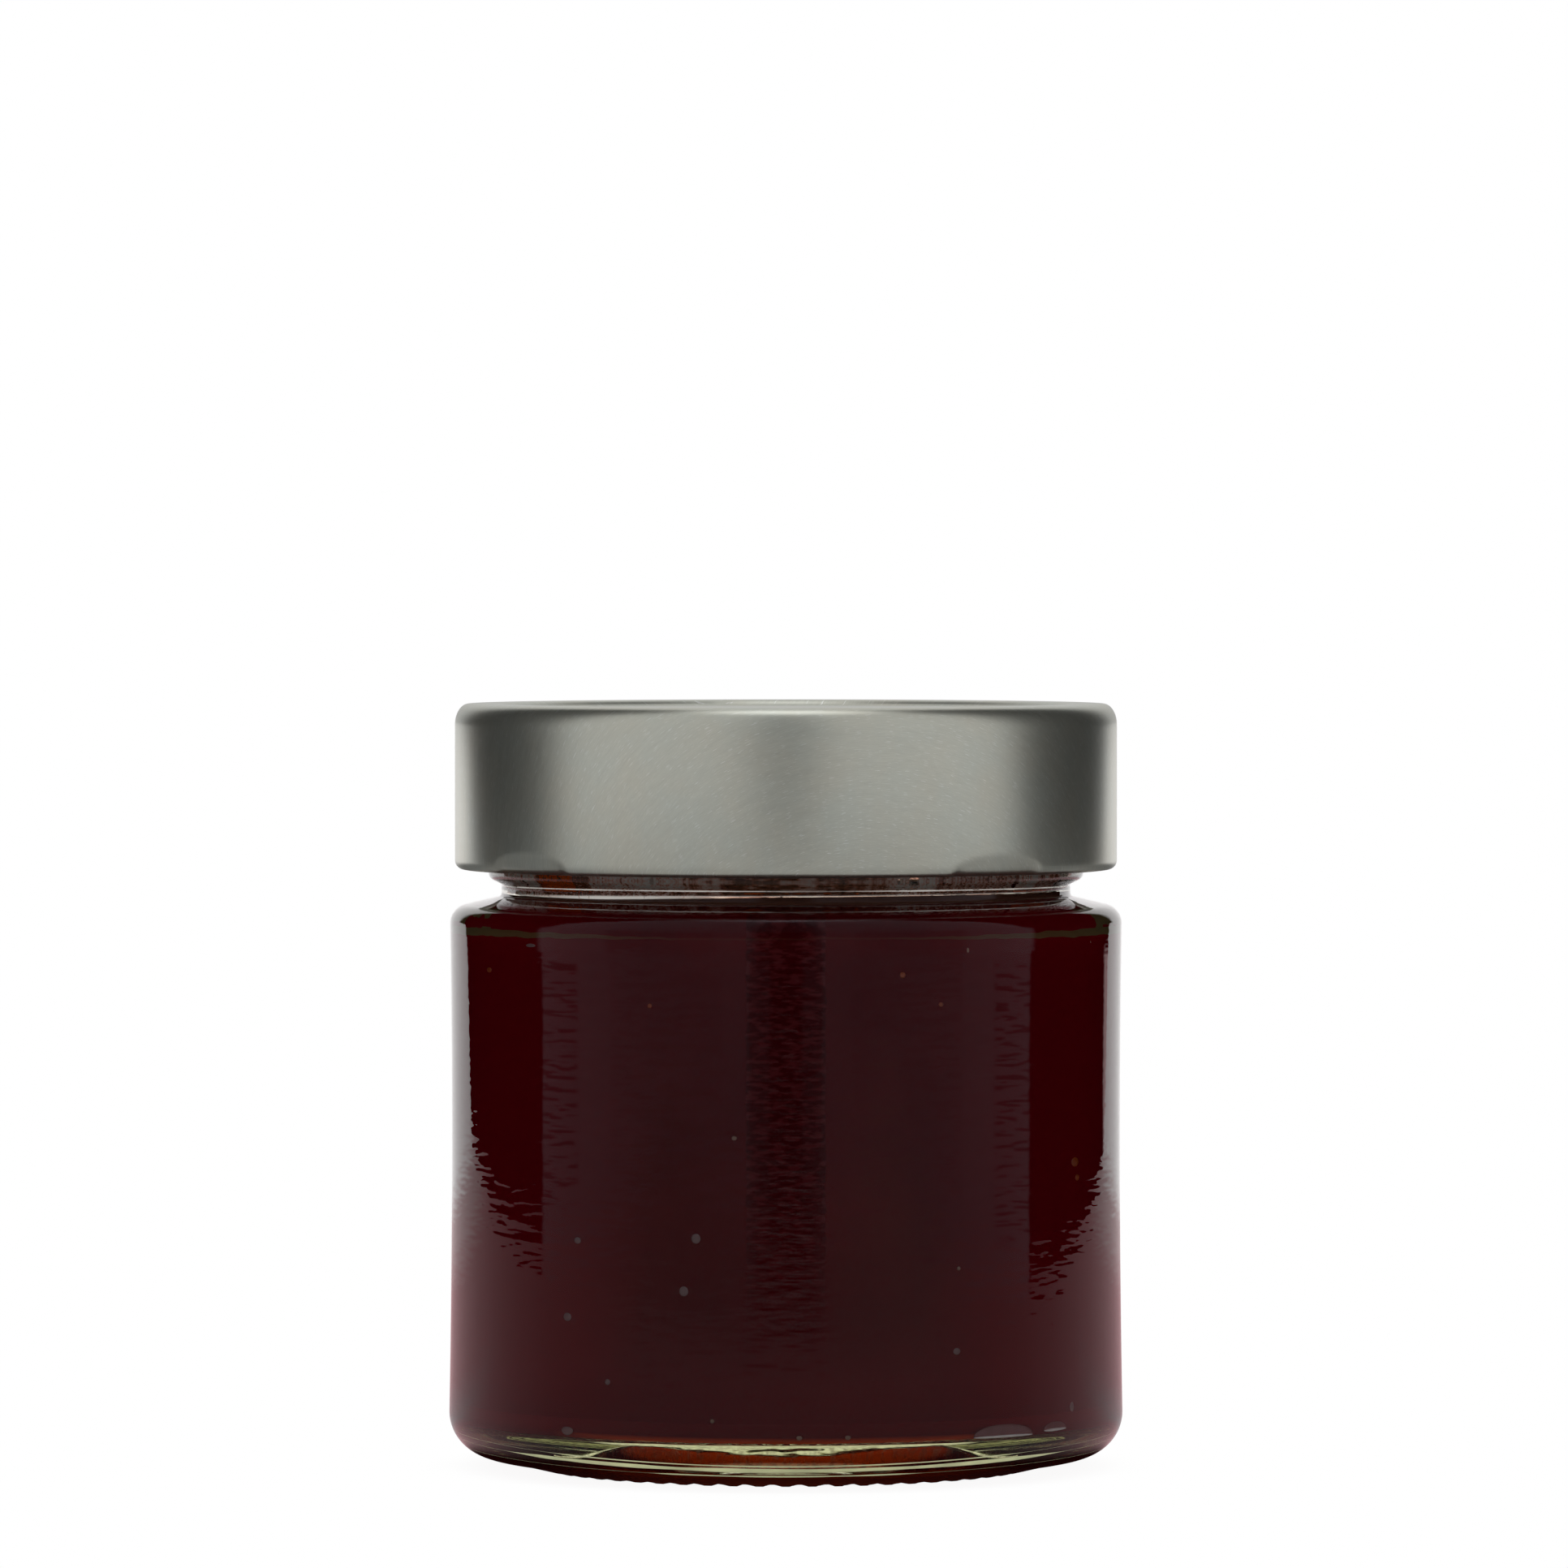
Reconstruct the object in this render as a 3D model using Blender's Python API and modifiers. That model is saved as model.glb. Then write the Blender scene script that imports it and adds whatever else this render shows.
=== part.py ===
"""Round jar of dark jam, shut with a four-lug twist-off cap.

Metres, +Z up. The jar stands on its knurled bearing ring at z = 0, with its
axis on the Z axis, and -Y is its front. Three solids make it:

    glass_jar  pressed glass: finish with four thread ramps, neck, shoulder,
               slightly waisted body, heel, knurled ring and raised base
    jam        the filling, up to the root of the neck
    lid        the steel cap, with its curled edge and four pressed lugs
"""

import math

import bmesh
import bpy
from mathutils import Matrix, Vector

MM = 0.001

# Driving sizes: radii from the axis and heights above the table.
BODY_R = 36.70 * MM
WAIST_R = 36.40 * MM
WAIST_Z = 36.0 * MM
BODY_TOP_Z = 59.2 * MM
HEEL_TOP_Z = 6.0 * MM
NECK_R = 31.0 * MM
NECK_TOP_Z = 63.1 * MM
FINISH_R = 32.4 * MM
RIM_Z = 81.9 * MM
BORE_R = 29.0 * MM
WALL = 2.25 * MM
FLOOR_Z = 5.27 * MM
FLOOR_DOME = 3.8 * MM
FLOOR_DOME_R = 24.8 * MM
JAM_TOP_Z = 62.7 * MM
LID_R = 36.05 * MM
LID_BOTTOM_Z = 65.1 * MM
LID_TOP_Z = 83.1 * MM
GAP = 0.3 * MM

# Base: the bearing ring, the flat cone outside it and the raised panel inside.
RING_INNER_R = 17.0 * MM
RING_OUTER_R = 27.0 * MM
BASE_CONE_DEG = 13.45
HEEL_ROUND_R = 31.7 * MM
PUSH_UP = 4.45 * MM
PUSH_RUN = 6.5 * MM
KNURL_MIDDLE_R = 26.05 * MM
KNURLS = 60
KNURL_GROOVE_WIDTH = 1.3 * MM
KNURL_GROOVE_DEPTH = 0.3 * MM

# Shoulder, neck and finish.
SHOULDER_CONE_DEG = 13.5
SHOULDER_ROUND = 2.1 * MM
NECK_FILLET = 0.7 * MM
FINISH_EDGE = 0.3 * MM
INNER_SHOULDER_START = 2.4 * MM
INNER_SHOULDER_ROUND = 3.4 * MM
INNER_SHOULDER_REACH = 1.6 * MM
BORE_BLEND = 0.4 * MM
INNER_HEEL_ROUND = 2.1 * MM
RIM_ROUND = 1.1 * MM

# Thread ramps and lugs: four of each. Azimuth 0 is the front, positive to +X.
STARTS = 4
LUG_AZIMUTH_DEG = -50.6
LUG_SPAN_DEG = 13.0
LUG_ROD_R = 0.95 * MM
LUG_CENTRE_R = 34.0 * MM
THREAD_ROD_R = 1.35 * MM
THREAD_SPAN_DEG = 74.0
THREAD_RISE = 4.2 * MM
THREAD_LOW_Z = 69.0 * MM

# Cap: sheet, curl at its edge, and the dents that its lugs leave outside.
LID_SHEET = 0.6 * MM
LID_CORNER_WIDTH = 1.5 * MM
LID_CORNER_HEIGHT = 2.3 * MM
LID_CURL_WIDTH = 1.9 * MM
LID_CURL_HEIGHT = 2.0 * MM
LID_PANEL_R = 30.2 * MM
LID_PANEL_DROP = 0.6 * MM
DENT_SIZE = Vector((7.4, 1.0, 2.3)) * MM

# Facets round each turned piece. The jar has one for each bar of its knurl.
JAR_STEPS = KNURLS
LID_STEPS = 64
JAM_STEPS = 48


def arc(centre, radii, start_deg, end_deg, steps):
    """Points of an elliptical arc as (radius, height); 0 degrees points outwards, 90 up."""
    angles = [start_deg + (end_deg - start_deg) * i / steps for i in range(steps + 1)]
    return [
        (
            centre[0] + radii[0] * math.cos(math.radians(angle)),
            centre[1] + radii[1] * math.sin(math.radians(angle)),
        )
        for angle in angles
    ]


def round_arc(centre, radius, start_deg, end_deg, steps):
    """Points of a circular arc as (radius, height)."""
    return arc(centre, (radius, radius), start_deg, end_deg, steps)


def smooth(share):
    """Smoothstep of a share from 0 to 1."""
    return share * share * (3 - 2 * share)


def body_radius(z):
    """Outer radius of the waisted body at height z: a shallow parabola about WAIST_Z."""
    reach = (z - WAIST_Z) / (WAIST_Z - HEEL_TOP_Z)
    return WAIST_R + (BODY_R - WAIST_R) * reach * reach


def body_wall(top_z, bottom_z, inset, steps):
    """Points down the waisted side, a distance inset inside its outer face."""
    heights = [top_z + (bottom_z - top_z) * i / steps for i in range(steps + 1)]
    return [(body_radius(z) - inset, z) for z in heights]


def azimuth_point(radius, azimuth_deg, z):
    """World point at an azimuth counted from the front (-Y) towards +X."""
    azimuth = math.radians(azimuth_deg)
    return Vector((radius * math.sin(azimuth), -radius * math.cos(azimuth), z))


def outer_side():
    """Outside of the glass, from the rim down to the edge of the bearing ring."""
    points = round_arc((FINISH_R - RIM_ROUND, RIM_Z - RIM_ROUND), RIM_ROUND, 90, 0, 3)
    points += [(FINISH_R, NECK_TOP_Z + 3 * FINISH_EDGE), (FINISH_R - FINISH_EDGE, NECK_TOP_Z + FINISH_EDGE)]
    points += [(NECK_R, NECK_TOP_Z - FINISH_EDGE)]

    cone = math.radians(SHOULDER_CONE_DEG)
    round_centre = (body_radius(BODY_TOP_Z) - SHOULDER_ROUND, BODY_TOP_Z)
    corner = round_arc(round_centre, SHOULDER_ROUND, 90 - SHOULDER_CONE_DEG, 0, 5)
    fillet_r = NECK_R + NECK_FILLET
    fillet_z = corner[0][1] + (corner[0][0] - fillet_r) * math.tan(cone)
    points += round_arc((fillet_r, fillet_z + NECK_FILLET), NECK_FILLET, 180, 270, 2)
    points += corner

    points += body_wall(BODY_TOP_Z, HEEL_TOP_Z, 0, 7)[1:]
    heel_z = (HEEL_ROUND_R - RING_OUTER_R) * math.tan(math.radians(BASE_CONE_DEG))
    heel_centre = (HEEL_ROUND_R, HEEL_TOP_Z)
    heel_radii = (body_radius(HEEL_TOP_Z) - HEEL_ROUND_R, HEEL_TOP_Z - heel_z)
    points += arc(heel_centre, heel_radii, 0, -90, 6)[1:]
    return points


def inner_side(inset):
    """Inside of the glass from the floor's centre up into the bore, moved inwards by inset."""
    radius = body_radius(HEEL_TOP_Z) - WALL
    floor_centre = (radius - INNER_HEEL_ROUND, FLOOR_Z + INNER_HEEL_ROUND)
    points = [(0, FLOOR_Z + FLOOR_DOME + inset)]
    points += [(FLOOR_DOME_R * t, FLOOR_Z + FLOOR_DOME * (1 - smooth(t)) + inset) for t in (0.35, 0.6, 0.85)]
    points += round_arc(floor_centre, INNER_HEEL_ROUND - inset, -90, 0, 4)
    points += body_wall(floor_centre[1], BODY_TOP_Z - INNER_SHOULDER_START, WALL + inset, 3)[1:]
    wall_r, wall_z = points[-1]
    centre_r = BORE_R + INNER_SHOULDER_REACH
    points += arc((centre_r, wall_z), (wall_r - centre_r, INNER_SHOULDER_ROUND - inset), 0, 80, 4)[1:]
    shoulder_z = points[-1][1]
    points += [(BORE_R + BORE_BLEND - inset, shoulder_z + BORE_BLEND)]
    points += [(BORE_R - inset, shoulder_z + 4 * BORE_BLEND)]
    return points


def jar_profile():
    """Closed path from the floor's centre, up the bore, over the rim and down to the base."""
    points = inner_side(0)
    points += round_arc((BORE_R + RIM_ROUND, RIM_Z - RIM_ROUND), RIM_ROUND, 180, 90, 3)
    points += outer_side()
    points += [(RING_OUTER_R, 0), (RING_INNER_R, 0)]
    points += [(RING_INNER_R - PUSH_RUN * t, PUSH_UP * smooth(t)) for t in (0.3, 0.7, 1.0)]
    points += [(0, PUSH_UP)]
    return points


def jam_profile():
    """Path over the jam's level top, then down inside the glass to its floor."""
    top = [(0, JAM_TOP_Z), (BORE_R - GAP, JAM_TOP_Z)]
    return top + inner_side(GAP)[::-1]


def lid_profile():
    """Path over the cap's panel and ring, down its skirt, round the curl and back inside."""
    sheet = LID_SHEET
    ring_r = LID_PANEL_R + 1.0 * MM
    panel_z = LID_TOP_Z - LID_PANEL_DROP
    corner = (LID_R - LID_CORNER_WIDTH, LID_TOP_Z - LID_CORNER_HEIGHT)
    points = [(0, panel_z), (LID_PANEL_R, panel_z), (ring_r, LID_TOP_Z)]
    points += arc(corner, (LID_CORNER_WIDTH, LID_CORNER_HEIGHT), 90, 0, 5)
    curl = (LID_R - LID_CURL_WIDTH / 2, LID_BOTTOM_Z + LID_CURL_WIDTH / 2)
    points += round_arc(curl, LID_CURL_WIDTH / 2, 0, -180, 6)
    curl_top_z = LID_BOTTOM_Z + LID_CURL_HEIGHT
    points += [(LID_R - LID_CURL_WIDTH, curl_top_z - 0.4 * MM), (LID_R - sheet, curl_top_z)]
    points += arc(corner, (LID_CORNER_WIDTH - sheet, LID_CORNER_HEIGHT - sheet), 0, 90, 3)
    points += [(ring_r + 0.2 * MM, LID_TOP_Z - sheet), (LID_PANEL_R + 0.2 * MM, panel_z - sheet)]
    points += [(0, panel_z - sheet)]
    return points


def collection(name, visible=True):
    """A new collection under the scene, left out of renders where it holds cutters."""
    made = bpy.data.collections.new(name)
    made.hide_render = not visible
    bpy.context.scene.collection.children.link(made)
    return made


def material(name, colour, roughness, metallic=0.0, transmission=0.0):
    """A Principled material of one colour."""
    made = bpy.data.materials.new(name)
    made.use_nodes = True
    shader = made.node_tree.nodes["Principled BSDF"]
    shader.inputs["Base Color"].default_value = (*colour, 1.0)
    shader.inputs["Roughness"].default_value = roughness
    shader.inputs["Metallic"].default_value = metallic
    shader.inputs["Transmission Weight"].default_value = transmission
    return made


def mesh_object(name, mesh, where):
    """An object that holds mesh, in the collection where."""
    made = bpy.data.objects.new(name, mesh)
    where.objects.link(made)
    return made


def turned(name, profile, steps, where):
    """Solid of revolution: the profile as an edge chain, turned by a Screw modifier."""
    mesh = bpy.data.meshes.new(name)
    corners = [(radius, 0, z) for radius, z in profile]
    edges = [(i, i + 1) for i in range(len(corners) - 1)]
    mesh.from_pydata(corners, edges, [])
    made = mesh_object(name, mesh, where)
    screw = made.modifiers.new("turn", "SCREW")
    screw.steps = steps
    screw.render_steps = steps
    screw.use_merge_vertices = True
    screw.merge_threshold = 0.00001
    return made


def rod(name, path, radius, where):
    """Round-ended rod along a path: a bevelled curve that tapers at both ends, as a mesh."""
    curve = bpy.data.curves.new(name, "CURVE")
    curve.dimensions = "3D"
    curve.bevel_depth = radius
    curve.bevel_resolution = 2
    curve.use_fill_caps = True
    spline = curve.splines.new("POLY")
    spline.points.add(len(path) - 1)
    for i, point in enumerate(path):
        end = min(i, len(path) - 1 - i)
        spline.points[i].co = (*point, 1.0)
        spline.points[i].radius = min(1.0, 0.35 + 0.325 * end)
    guide = mesh_object(name, curve, where)
    bpy.context.view_layer.update()
    mesh = bpy.data.meshes.new_from_object(guide.evaluated_get(bpy.context.evaluated_depsgraph_get()))
    bpy.data.objects.remove(guide)
    shape = bmesh.new()
    shape.from_mesh(mesh)
    bmesh.ops.remove_doubles(shape, verts=shape.verts, dist=0.000001)
    bmesh.ops.recalc_face_normals(shape, faces=shape.faces)
    shape.to_mesh(mesh)
    shape.free()
    return mesh_object(name, mesh, where)


def boolean(target, tool, operation):
    """Cuts tool from target, or joins it on, and hides tool from renders."""
    step = target.modifiers.new(tool.name, "BOOLEAN")
    step.operation = operation
    step.solver = "EXACT"
    step.object = tool
    tool.display_type = "WIRE"
    tool.hide_render = True


def thread_ramp(number, tools):
    """One raised glass thread, rising anticlockwise from above its lug."""
    steps = 9
    start = LUG_AZIMUTH_DEG + number * 360 / STARTS - LUG_SPAN_DEG
    path = []
    for i in range(steps + 1):
        along = i / steps
        azimuth = start + THREAD_SPAN_DEG * along
        path.append(azimuth_point(FINISH_R + 0.15 * MM, azimuth, THREAD_LOW_Z + THREAD_RISE * along))
    return rod(f"thread_ramp_{number}", path, THREAD_ROD_R, tools)


def lug(number, tools):
    """One of the cap's lugs: the curl pressed inwards, to catch below a thread ramp."""
    steps = 6
    centre = LUG_AZIMUTH_DEG + number * 360 / STARTS
    path = [
        azimuth_point(LUG_CENTRE_R, centre + LUG_SPAN_DEG * (i / steps - 0.5), LID_BOTTOM_Z + 1.1 * MM)
        for i in range(steps + 1)
    ]
    return rod(f"lug_{number}", path, LUG_ROD_R, tools)


def lug_dent(number, tools):
    """Cutter for the shallow domed dent that a lug leaves outside, at the cap's edge."""
    azimuth = LUG_AZIMUTH_DEG + number * 360 / STARTS
    mesh = bpy.data.meshes.new(f"lug_dent_{number}")
    shape = bmesh.new()
    bmesh.ops.create_uvsphere(shape, u_segments=20, v_segments=10, radius=1.0)
    bmesh.ops.scale(shape, vec=DENT_SIZE, verts=shape.verts)
    bmesh.ops.rotate(shape, matrix=Matrix.Rotation(math.radians(azimuth), 3, "Z"), verts=shape.verts)
    shape.to_mesh(mesh)
    shape.free()
    made = mesh_object(mesh.name, mesh, tools)
    made.location = azimuth_point(LID_R + 0.35 * MM, azimuth, LID_BOTTOM_Z)
    return made


def knurl_grooves(tools):
    """Cutter for the radial grooves between the bars of the bearing ring."""
    length = 6.0 * MM
    height = 2.0 * MM
    mesh = bpy.data.meshes.new("knurl_grooves")
    shape = bmesh.new()
    for i in range(KNURLS):
        turn = Matrix.Rotation((i + 0.5) * math.tau / KNURLS, 4, "Z")
        place = Matrix.Translation((KNURL_MIDDLE_R, 0, KNURL_GROOVE_DEPTH - height / 2))
        size = Matrix.Diagonal((length, KNURL_GROOVE_WIDTH, height, 1.0))
        bmesh.ops.create_cube(shape, size=1.0, matrix=turn @ place @ size)
    shape.to_mesh(mesh)
    shape.free()
    return mesh_object(mesh.name, mesh, tools)


def build_jar(parts, tools):
    """The glass jar with its thread ramps joined on and its knurl cut."""
    jar = turned("glass_jar", jar_profile(), JAR_STEPS, parts)
    for number in range(STARTS):
        boolean(jar, thread_ramp(number, tools), "UNION")
    boolean(jar, knurl_grooves(tools), "DIFFERENCE")
    jar.data.materials.append(material("clear_glass", (0.86, 0.92, 0.88), 0.02, transmission=1.0))
    return jar


def build_jam(parts):
    """The jam as one body, clear of the glass by GAP."""
    jam = turned("jam", jam_profile(), JAM_STEPS, parts)
    jam.data.materials.append(material("dark_jam", (0.030, 0.0015, 0.002), 0.25))
    return jam


def build_lid(parts, tools):
    """The cap: a turned shell with its lugs joined on and their dents pressed in."""
    lid = turned("lid", lid_profile(), LID_STEPS, parts)
    for number in range(STARTS):
        boolean(lid, lug(number, tools), "UNION")
        boolean(lid, lug_dent(number, tools), "DIFFERENCE")
    lid.data.materials.append(material("brushed_tinplate", (0.52, 0.53, 0.49), 0.32, metallic=1.0))
    return lid


def main():
    """Clears the scene and builds the three solids."""
    for existing in list(bpy.data.objects):
        bpy.data.objects.remove(existing)
    parts = collection("jam_jar")
    tools = collection("jam_jar_tools", visible=False)
    for made in (build_jar(parts, tools), build_jam(parts), build_lid(parts, tools)):
        made.data.shade_smooth()


main()
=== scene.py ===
"""Looks of a shut round jar of dark jam: pressed glass, jam, jam film, bubbles and a tinplate cap.

Metres, +Z up, -Y to the front. Azimuths are counted from the front towards +X, so a point at
radius r, azimuth a and height z is (r sin a, -r cos a, z).
"""

from __future__ import annotations

import logging
import math
from dataclasses import dataclass
from enum import Enum
from typing import Any

import bpy
import numpy as np
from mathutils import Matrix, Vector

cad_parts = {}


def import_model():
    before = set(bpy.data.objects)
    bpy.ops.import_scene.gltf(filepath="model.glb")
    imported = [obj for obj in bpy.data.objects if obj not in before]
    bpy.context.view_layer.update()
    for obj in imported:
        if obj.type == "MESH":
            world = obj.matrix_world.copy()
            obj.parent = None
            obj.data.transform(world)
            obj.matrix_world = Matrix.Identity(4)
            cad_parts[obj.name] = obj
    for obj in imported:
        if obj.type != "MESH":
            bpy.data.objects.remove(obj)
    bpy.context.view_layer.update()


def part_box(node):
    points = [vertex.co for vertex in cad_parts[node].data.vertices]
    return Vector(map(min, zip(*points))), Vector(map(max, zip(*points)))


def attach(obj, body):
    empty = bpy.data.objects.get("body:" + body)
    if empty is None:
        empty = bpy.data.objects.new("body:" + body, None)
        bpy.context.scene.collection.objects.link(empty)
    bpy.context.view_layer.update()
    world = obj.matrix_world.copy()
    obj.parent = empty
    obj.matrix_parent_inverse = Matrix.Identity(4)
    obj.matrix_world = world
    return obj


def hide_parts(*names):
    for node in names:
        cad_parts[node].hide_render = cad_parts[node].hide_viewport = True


LOG = logging.getLogger("jam_jar")
MM = 0.001
BODY = "root"

# What is left of a flat blob's lower half, the radius of a turned piece's first ring, the gap below which
# two profile points are one, and the radius that a wave's slope is worked out at with the waves an octave.
FLATTENING = 0.06
POLE_R = 0.05 * MM
FUSE = 0.002 * MM
NOISE_HEIGHT = 36 * MM
NOISE_WAVES = 6

Pair = tuple[float, float]
Triple = tuple[float, float, float]
Array = np.ndarray
Thing = bpy.types.Object


# --- shapes -------------------------------------------------------------------------------------


def arc(centre: Pair, radii: Pair | float, start: float, end: float, steps: int) -> Array:
    """Elliptical arc in the (radius, height) plane: centre + (a cos t, b sin t).

    Args:
        centre: middle of the ellipse.
        radii: its half-widths along the radius and the height, or one for both.
        start: first angle in degrees, 0 outwards and 90 up.
        end: last angle in degrees.
        steps: number of stretches.

    Returns:
        Array of steps + 1 points.
    """
    angle = np.radians(np.linspace(start, end, steps + 1))
    wide, tall = radii if isinstance(radii, tuple) else (radii, radii)
    return np.stack([centre[0] + wide * np.cos(angle), centre[1] + tall * np.sin(angle)], axis=1)


def line(first: Pair, last: Pair, steps: int) -> Array:
    """Straight stretch of a profile, as steps + 1 evenly spaced points."""
    share = np.linspace(0.0, 1.0, steps + 1)[:, None]
    return np.array(first) * (1 - share) + np.array(last) * share


def joined(*stretches: Array) -> Array:
    """One profile from stretches laid end to end, with repeated points dropped.

    Args:
        stretches: arrays of (radius, height) points, in order.

    Returns:
        One array of points.
    """
    points = np.concatenate(stretches)
    apart = np.linalg.norm(np.diff(points, axis=0), axis=1) > FUSE
    return points[np.concatenate([[True], apart])]


def smooth(value: Array | float, low: float, high: float) -> Array:
    """Smoothstep: 0 below low, 1 above high, and 3t^2 - 2t^3 between."""
    share = np.clip((value - low) / (high - low), 0.0, 1.0)
    return share * share * (3 - 2 * share)


def wave_noise(azimuth: Array, z: Array, seed: int, cells: float, octaves: int = 3) -> Array:
    """Smooth noise round a jar: a sum of sines with whole numbers of waves round, and seeded phases.

    Args:
        azimuth: azimuths in radians.
        z: heights in metres.
        seed: seed of the random phases.
        cells: waves round the jar in the first octave.
        octaves: number of doublings.

    Returns:
        Array of values within about -1 and 1.
    """
    random = np.random.default_rng(seed)
    total = np.zeros(np.broadcast(azimuth, z).shape)
    for octave in range(octaves):
        count = cells * 2**octave
        for _ in range(NOISE_WAVES):
            around = round(count * random.uniform(0.4, 1.3))
            along = count / NOISE_HEIGHT * random.uniform(-1.0, 1.0)
            total += np.sin(around * azimuth + along * z + random.uniform(0, math.tau)) / 2**octave
    return total / NOISE_WAVES


def wrapped(azimuth: Array) -> Array:
    """Azimuths brought between minus and plus half a turn."""
    return np.mod(azimuth + math.pi, math.tau) - math.pi


def turned_grid(profile: Array, columns: int) -> tuple[Array, Array, Array]:
    """Radius, azimuth and height of every point of a profile turned round Z.

    Args:
        profile: (radius, height) points.
        columns: steps round the axis.

    Returns:
        Three arrays of a row a profile point and a column a step.
    """
    azimuth = np.arange(columns) * math.tau / columns
    radius = np.repeat(profile[:, :1], columns, axis=1)
    height = np.repeat(profile[:, 1:], columns, axis=1)
    return radius, np.broadcast_to(azimuth, radius.shape), height


def place(radius: Array, azimuth: Array, height: Array) -> Array:
    """Points (r sin a, -r cos a, z), one row each."""
    return np.stack([radius * np.sin(azimuth), -radius * np.cos(azimuth), height], axis=-1).reshape(-1, 3)


def grid_faces(rows: int, columns: int, wrap: bool = True) -> Array:
    """Quads between neighbouring rows of a grid, turned to face out where rows run downwards outside.

    Args:
        rows: number of rows.
        columns: points in a row.
        wrap: whether the last column joins the first.

    Returns:
        Four vertex numbers a quad.
    """
    last = columns if wrap else columns - 1
    row, column = np.meshgrid(np.arange(rows - 1), np.arange(last), indexing="ij")
    after = (column + 1) % columns
    here, right = row * columns + column, row * columns + after
    return np.stack([here, here + columns, right + columns, right], axis=-1).reshape(-1, 4)


def fans(rows: int, columns: int, first: int) -> Array:
    """Triangles that shut a grid's first ring with the point numbered first, and its last with the next.

    Args:
        rows: number of rings.
        columns: points in a ring.
        first: number of the point that shuts the first ring.

    Returns:
        Three vertex numbers a triangle.
    """
    column = np.arange(columns)
    after = (column + 1) % columns
    start = (rows - 1) * columns
    top = np.stack([np.full(columns, first), column, after], axis=1)
    bottom = np.stack([np.full(columns, first + 1), start + after, start + column], axis=1)
    return np.concatenate([top, bottom])


def piece(name: str, points: Array, faces: Array, caps: Array | None = None) -> Thing:
    """A smooth mesh object at the origin from arrays.

    Args:
        name: the object's name.
        points: vertices, one row each.
        faces: quads as vertex numbers.
        caps: triangles as vertex numbers.

    Returns:
        The new object, linked to the scene.
    """
    mesh = bpy.data.meshes.new(name)
    mesh.from_pydata(points.tolist(), [], faces.tolist() + ([] if caps is None else caps.tolist()))
    mesh.update()
    mesh.shade_smooth()
    made = bpy.data.objects.new(name, mesh)
    bpy.context.scene.collection.objects.link(made)
    return made


def dressed(made: Thing, material: bpy.types.Material) -> Thing:
    """The piece, with its material."""
    made.data.materials.append(material)
    return made


def closed_turning(name: str, radius: Array, azimuth: Array, height: Array) -> Thing:
    """A closed turned piece: the grid's rows are rings, and its first and last rings are capped by fans.

    Args:
        name: the object's name.
        radius: radii of the grid's points.
        azimuth: their azimuths.
        height: their heights.

    Returns:
        The new object.
    """
    rows, columns = radius.shape
    poles = np.array([[0.0, 0.0, height[0].mean()], [0.0, 0.0, height[-1].mean()]])
    points = np.concatenate([place(radius, azimuth, height), poles])
    return piece(name, points, grid_faces(rows, columns), fans(rows, columns, rows * columns))


def blobs(
    name: str, centres: Array, frames: Array, sizes: Array, rows: int, columns: int, flat: bool = False
) -> Thing:
    """Many small ellipsoids in one mesh: centre + frame (size * unit sphere point).

    Args:
        name: the object's name.
        centres: one centre a blob.
        frames: one 3 by 3 matrix a blob, whose columns are its axes.
        sizes: three half-widths a blob.
        rows: rings between the poles.
        columns: points in a ring.
        flat: whether the lower half is pressed nearly flat.

    Returns:
        The new object.
    """
    polar = np.radians(np.linspace(0, 180, rows + 2))[1:-1]
    turn = np.arange(columns) * math.tau / columns
    around = (np.cos(turn), np.sin(turn), np.ones(columns))
    down = (np.sin(polar), np.sin(polar), np.cos(polar))
    rings = np.stack([np.outer(*pair) for pair in zip(down, around)], axis=-1).reshape(-1, 3)
    unit = np.concatenate([rings, [[0, 0, 1.0], [0, 0, -1.0]]])
    if flat:
        unit[:, 2] = np.where(unit[:, 2] < 0, FLATTENING * unit[:, 2], unit[:, 2])
    points = centres[:, None, :] + np.einsum("nij,nkj->nki", frames, unit[None] * sizes[:, None, :])
    shift = (np.arange(len(centres)) * len(unit))[:, None, None]
    sides = (grid_faces(rows, columns)[None] + shift).reshape(-1, 4)
    ends = (fans(rows, columns, len(rings))[None] + shift).reshape(-1, 3)
    return piece(name, points.reshape(-1, 3), sides, ends)


def wall_frames(azimuth: Array, spin: Array) -> Array:
    """Frames on the jar's wall: outward, and two in-wall directions turned by spin, as matrix columns.

    Args:
        azimuth: where on the wall, in radians.
        spin: turn in the wall, in radians.

    Returns:
        One 3 by 3 matrix a place.
    """
    zero = np.zeros_like(azimuth)
    outward = np.stack([np.sin(azimuth), -np.cos(azimuth), zero], axis=-1)
    along = np.stack([np.cos(azimuth), np.sin(azimuth), zero], axis=-1)
    up = np.stack([zero, zero, zero + 1], axis=-1)
    first = along * np.cos(spin)[:, None] + up * np.sin(spin)[:, None]
    second = np.cross(outward, first)
    return np.stack([outward, first, second], axis=-1)


# --- finishes -----------------------------------------------------------------------------------


def dimmed(colour: Triple, share: float) -> Triple:
    """A colour times share."""
    return tuple(share * value for value in colour)


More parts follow.
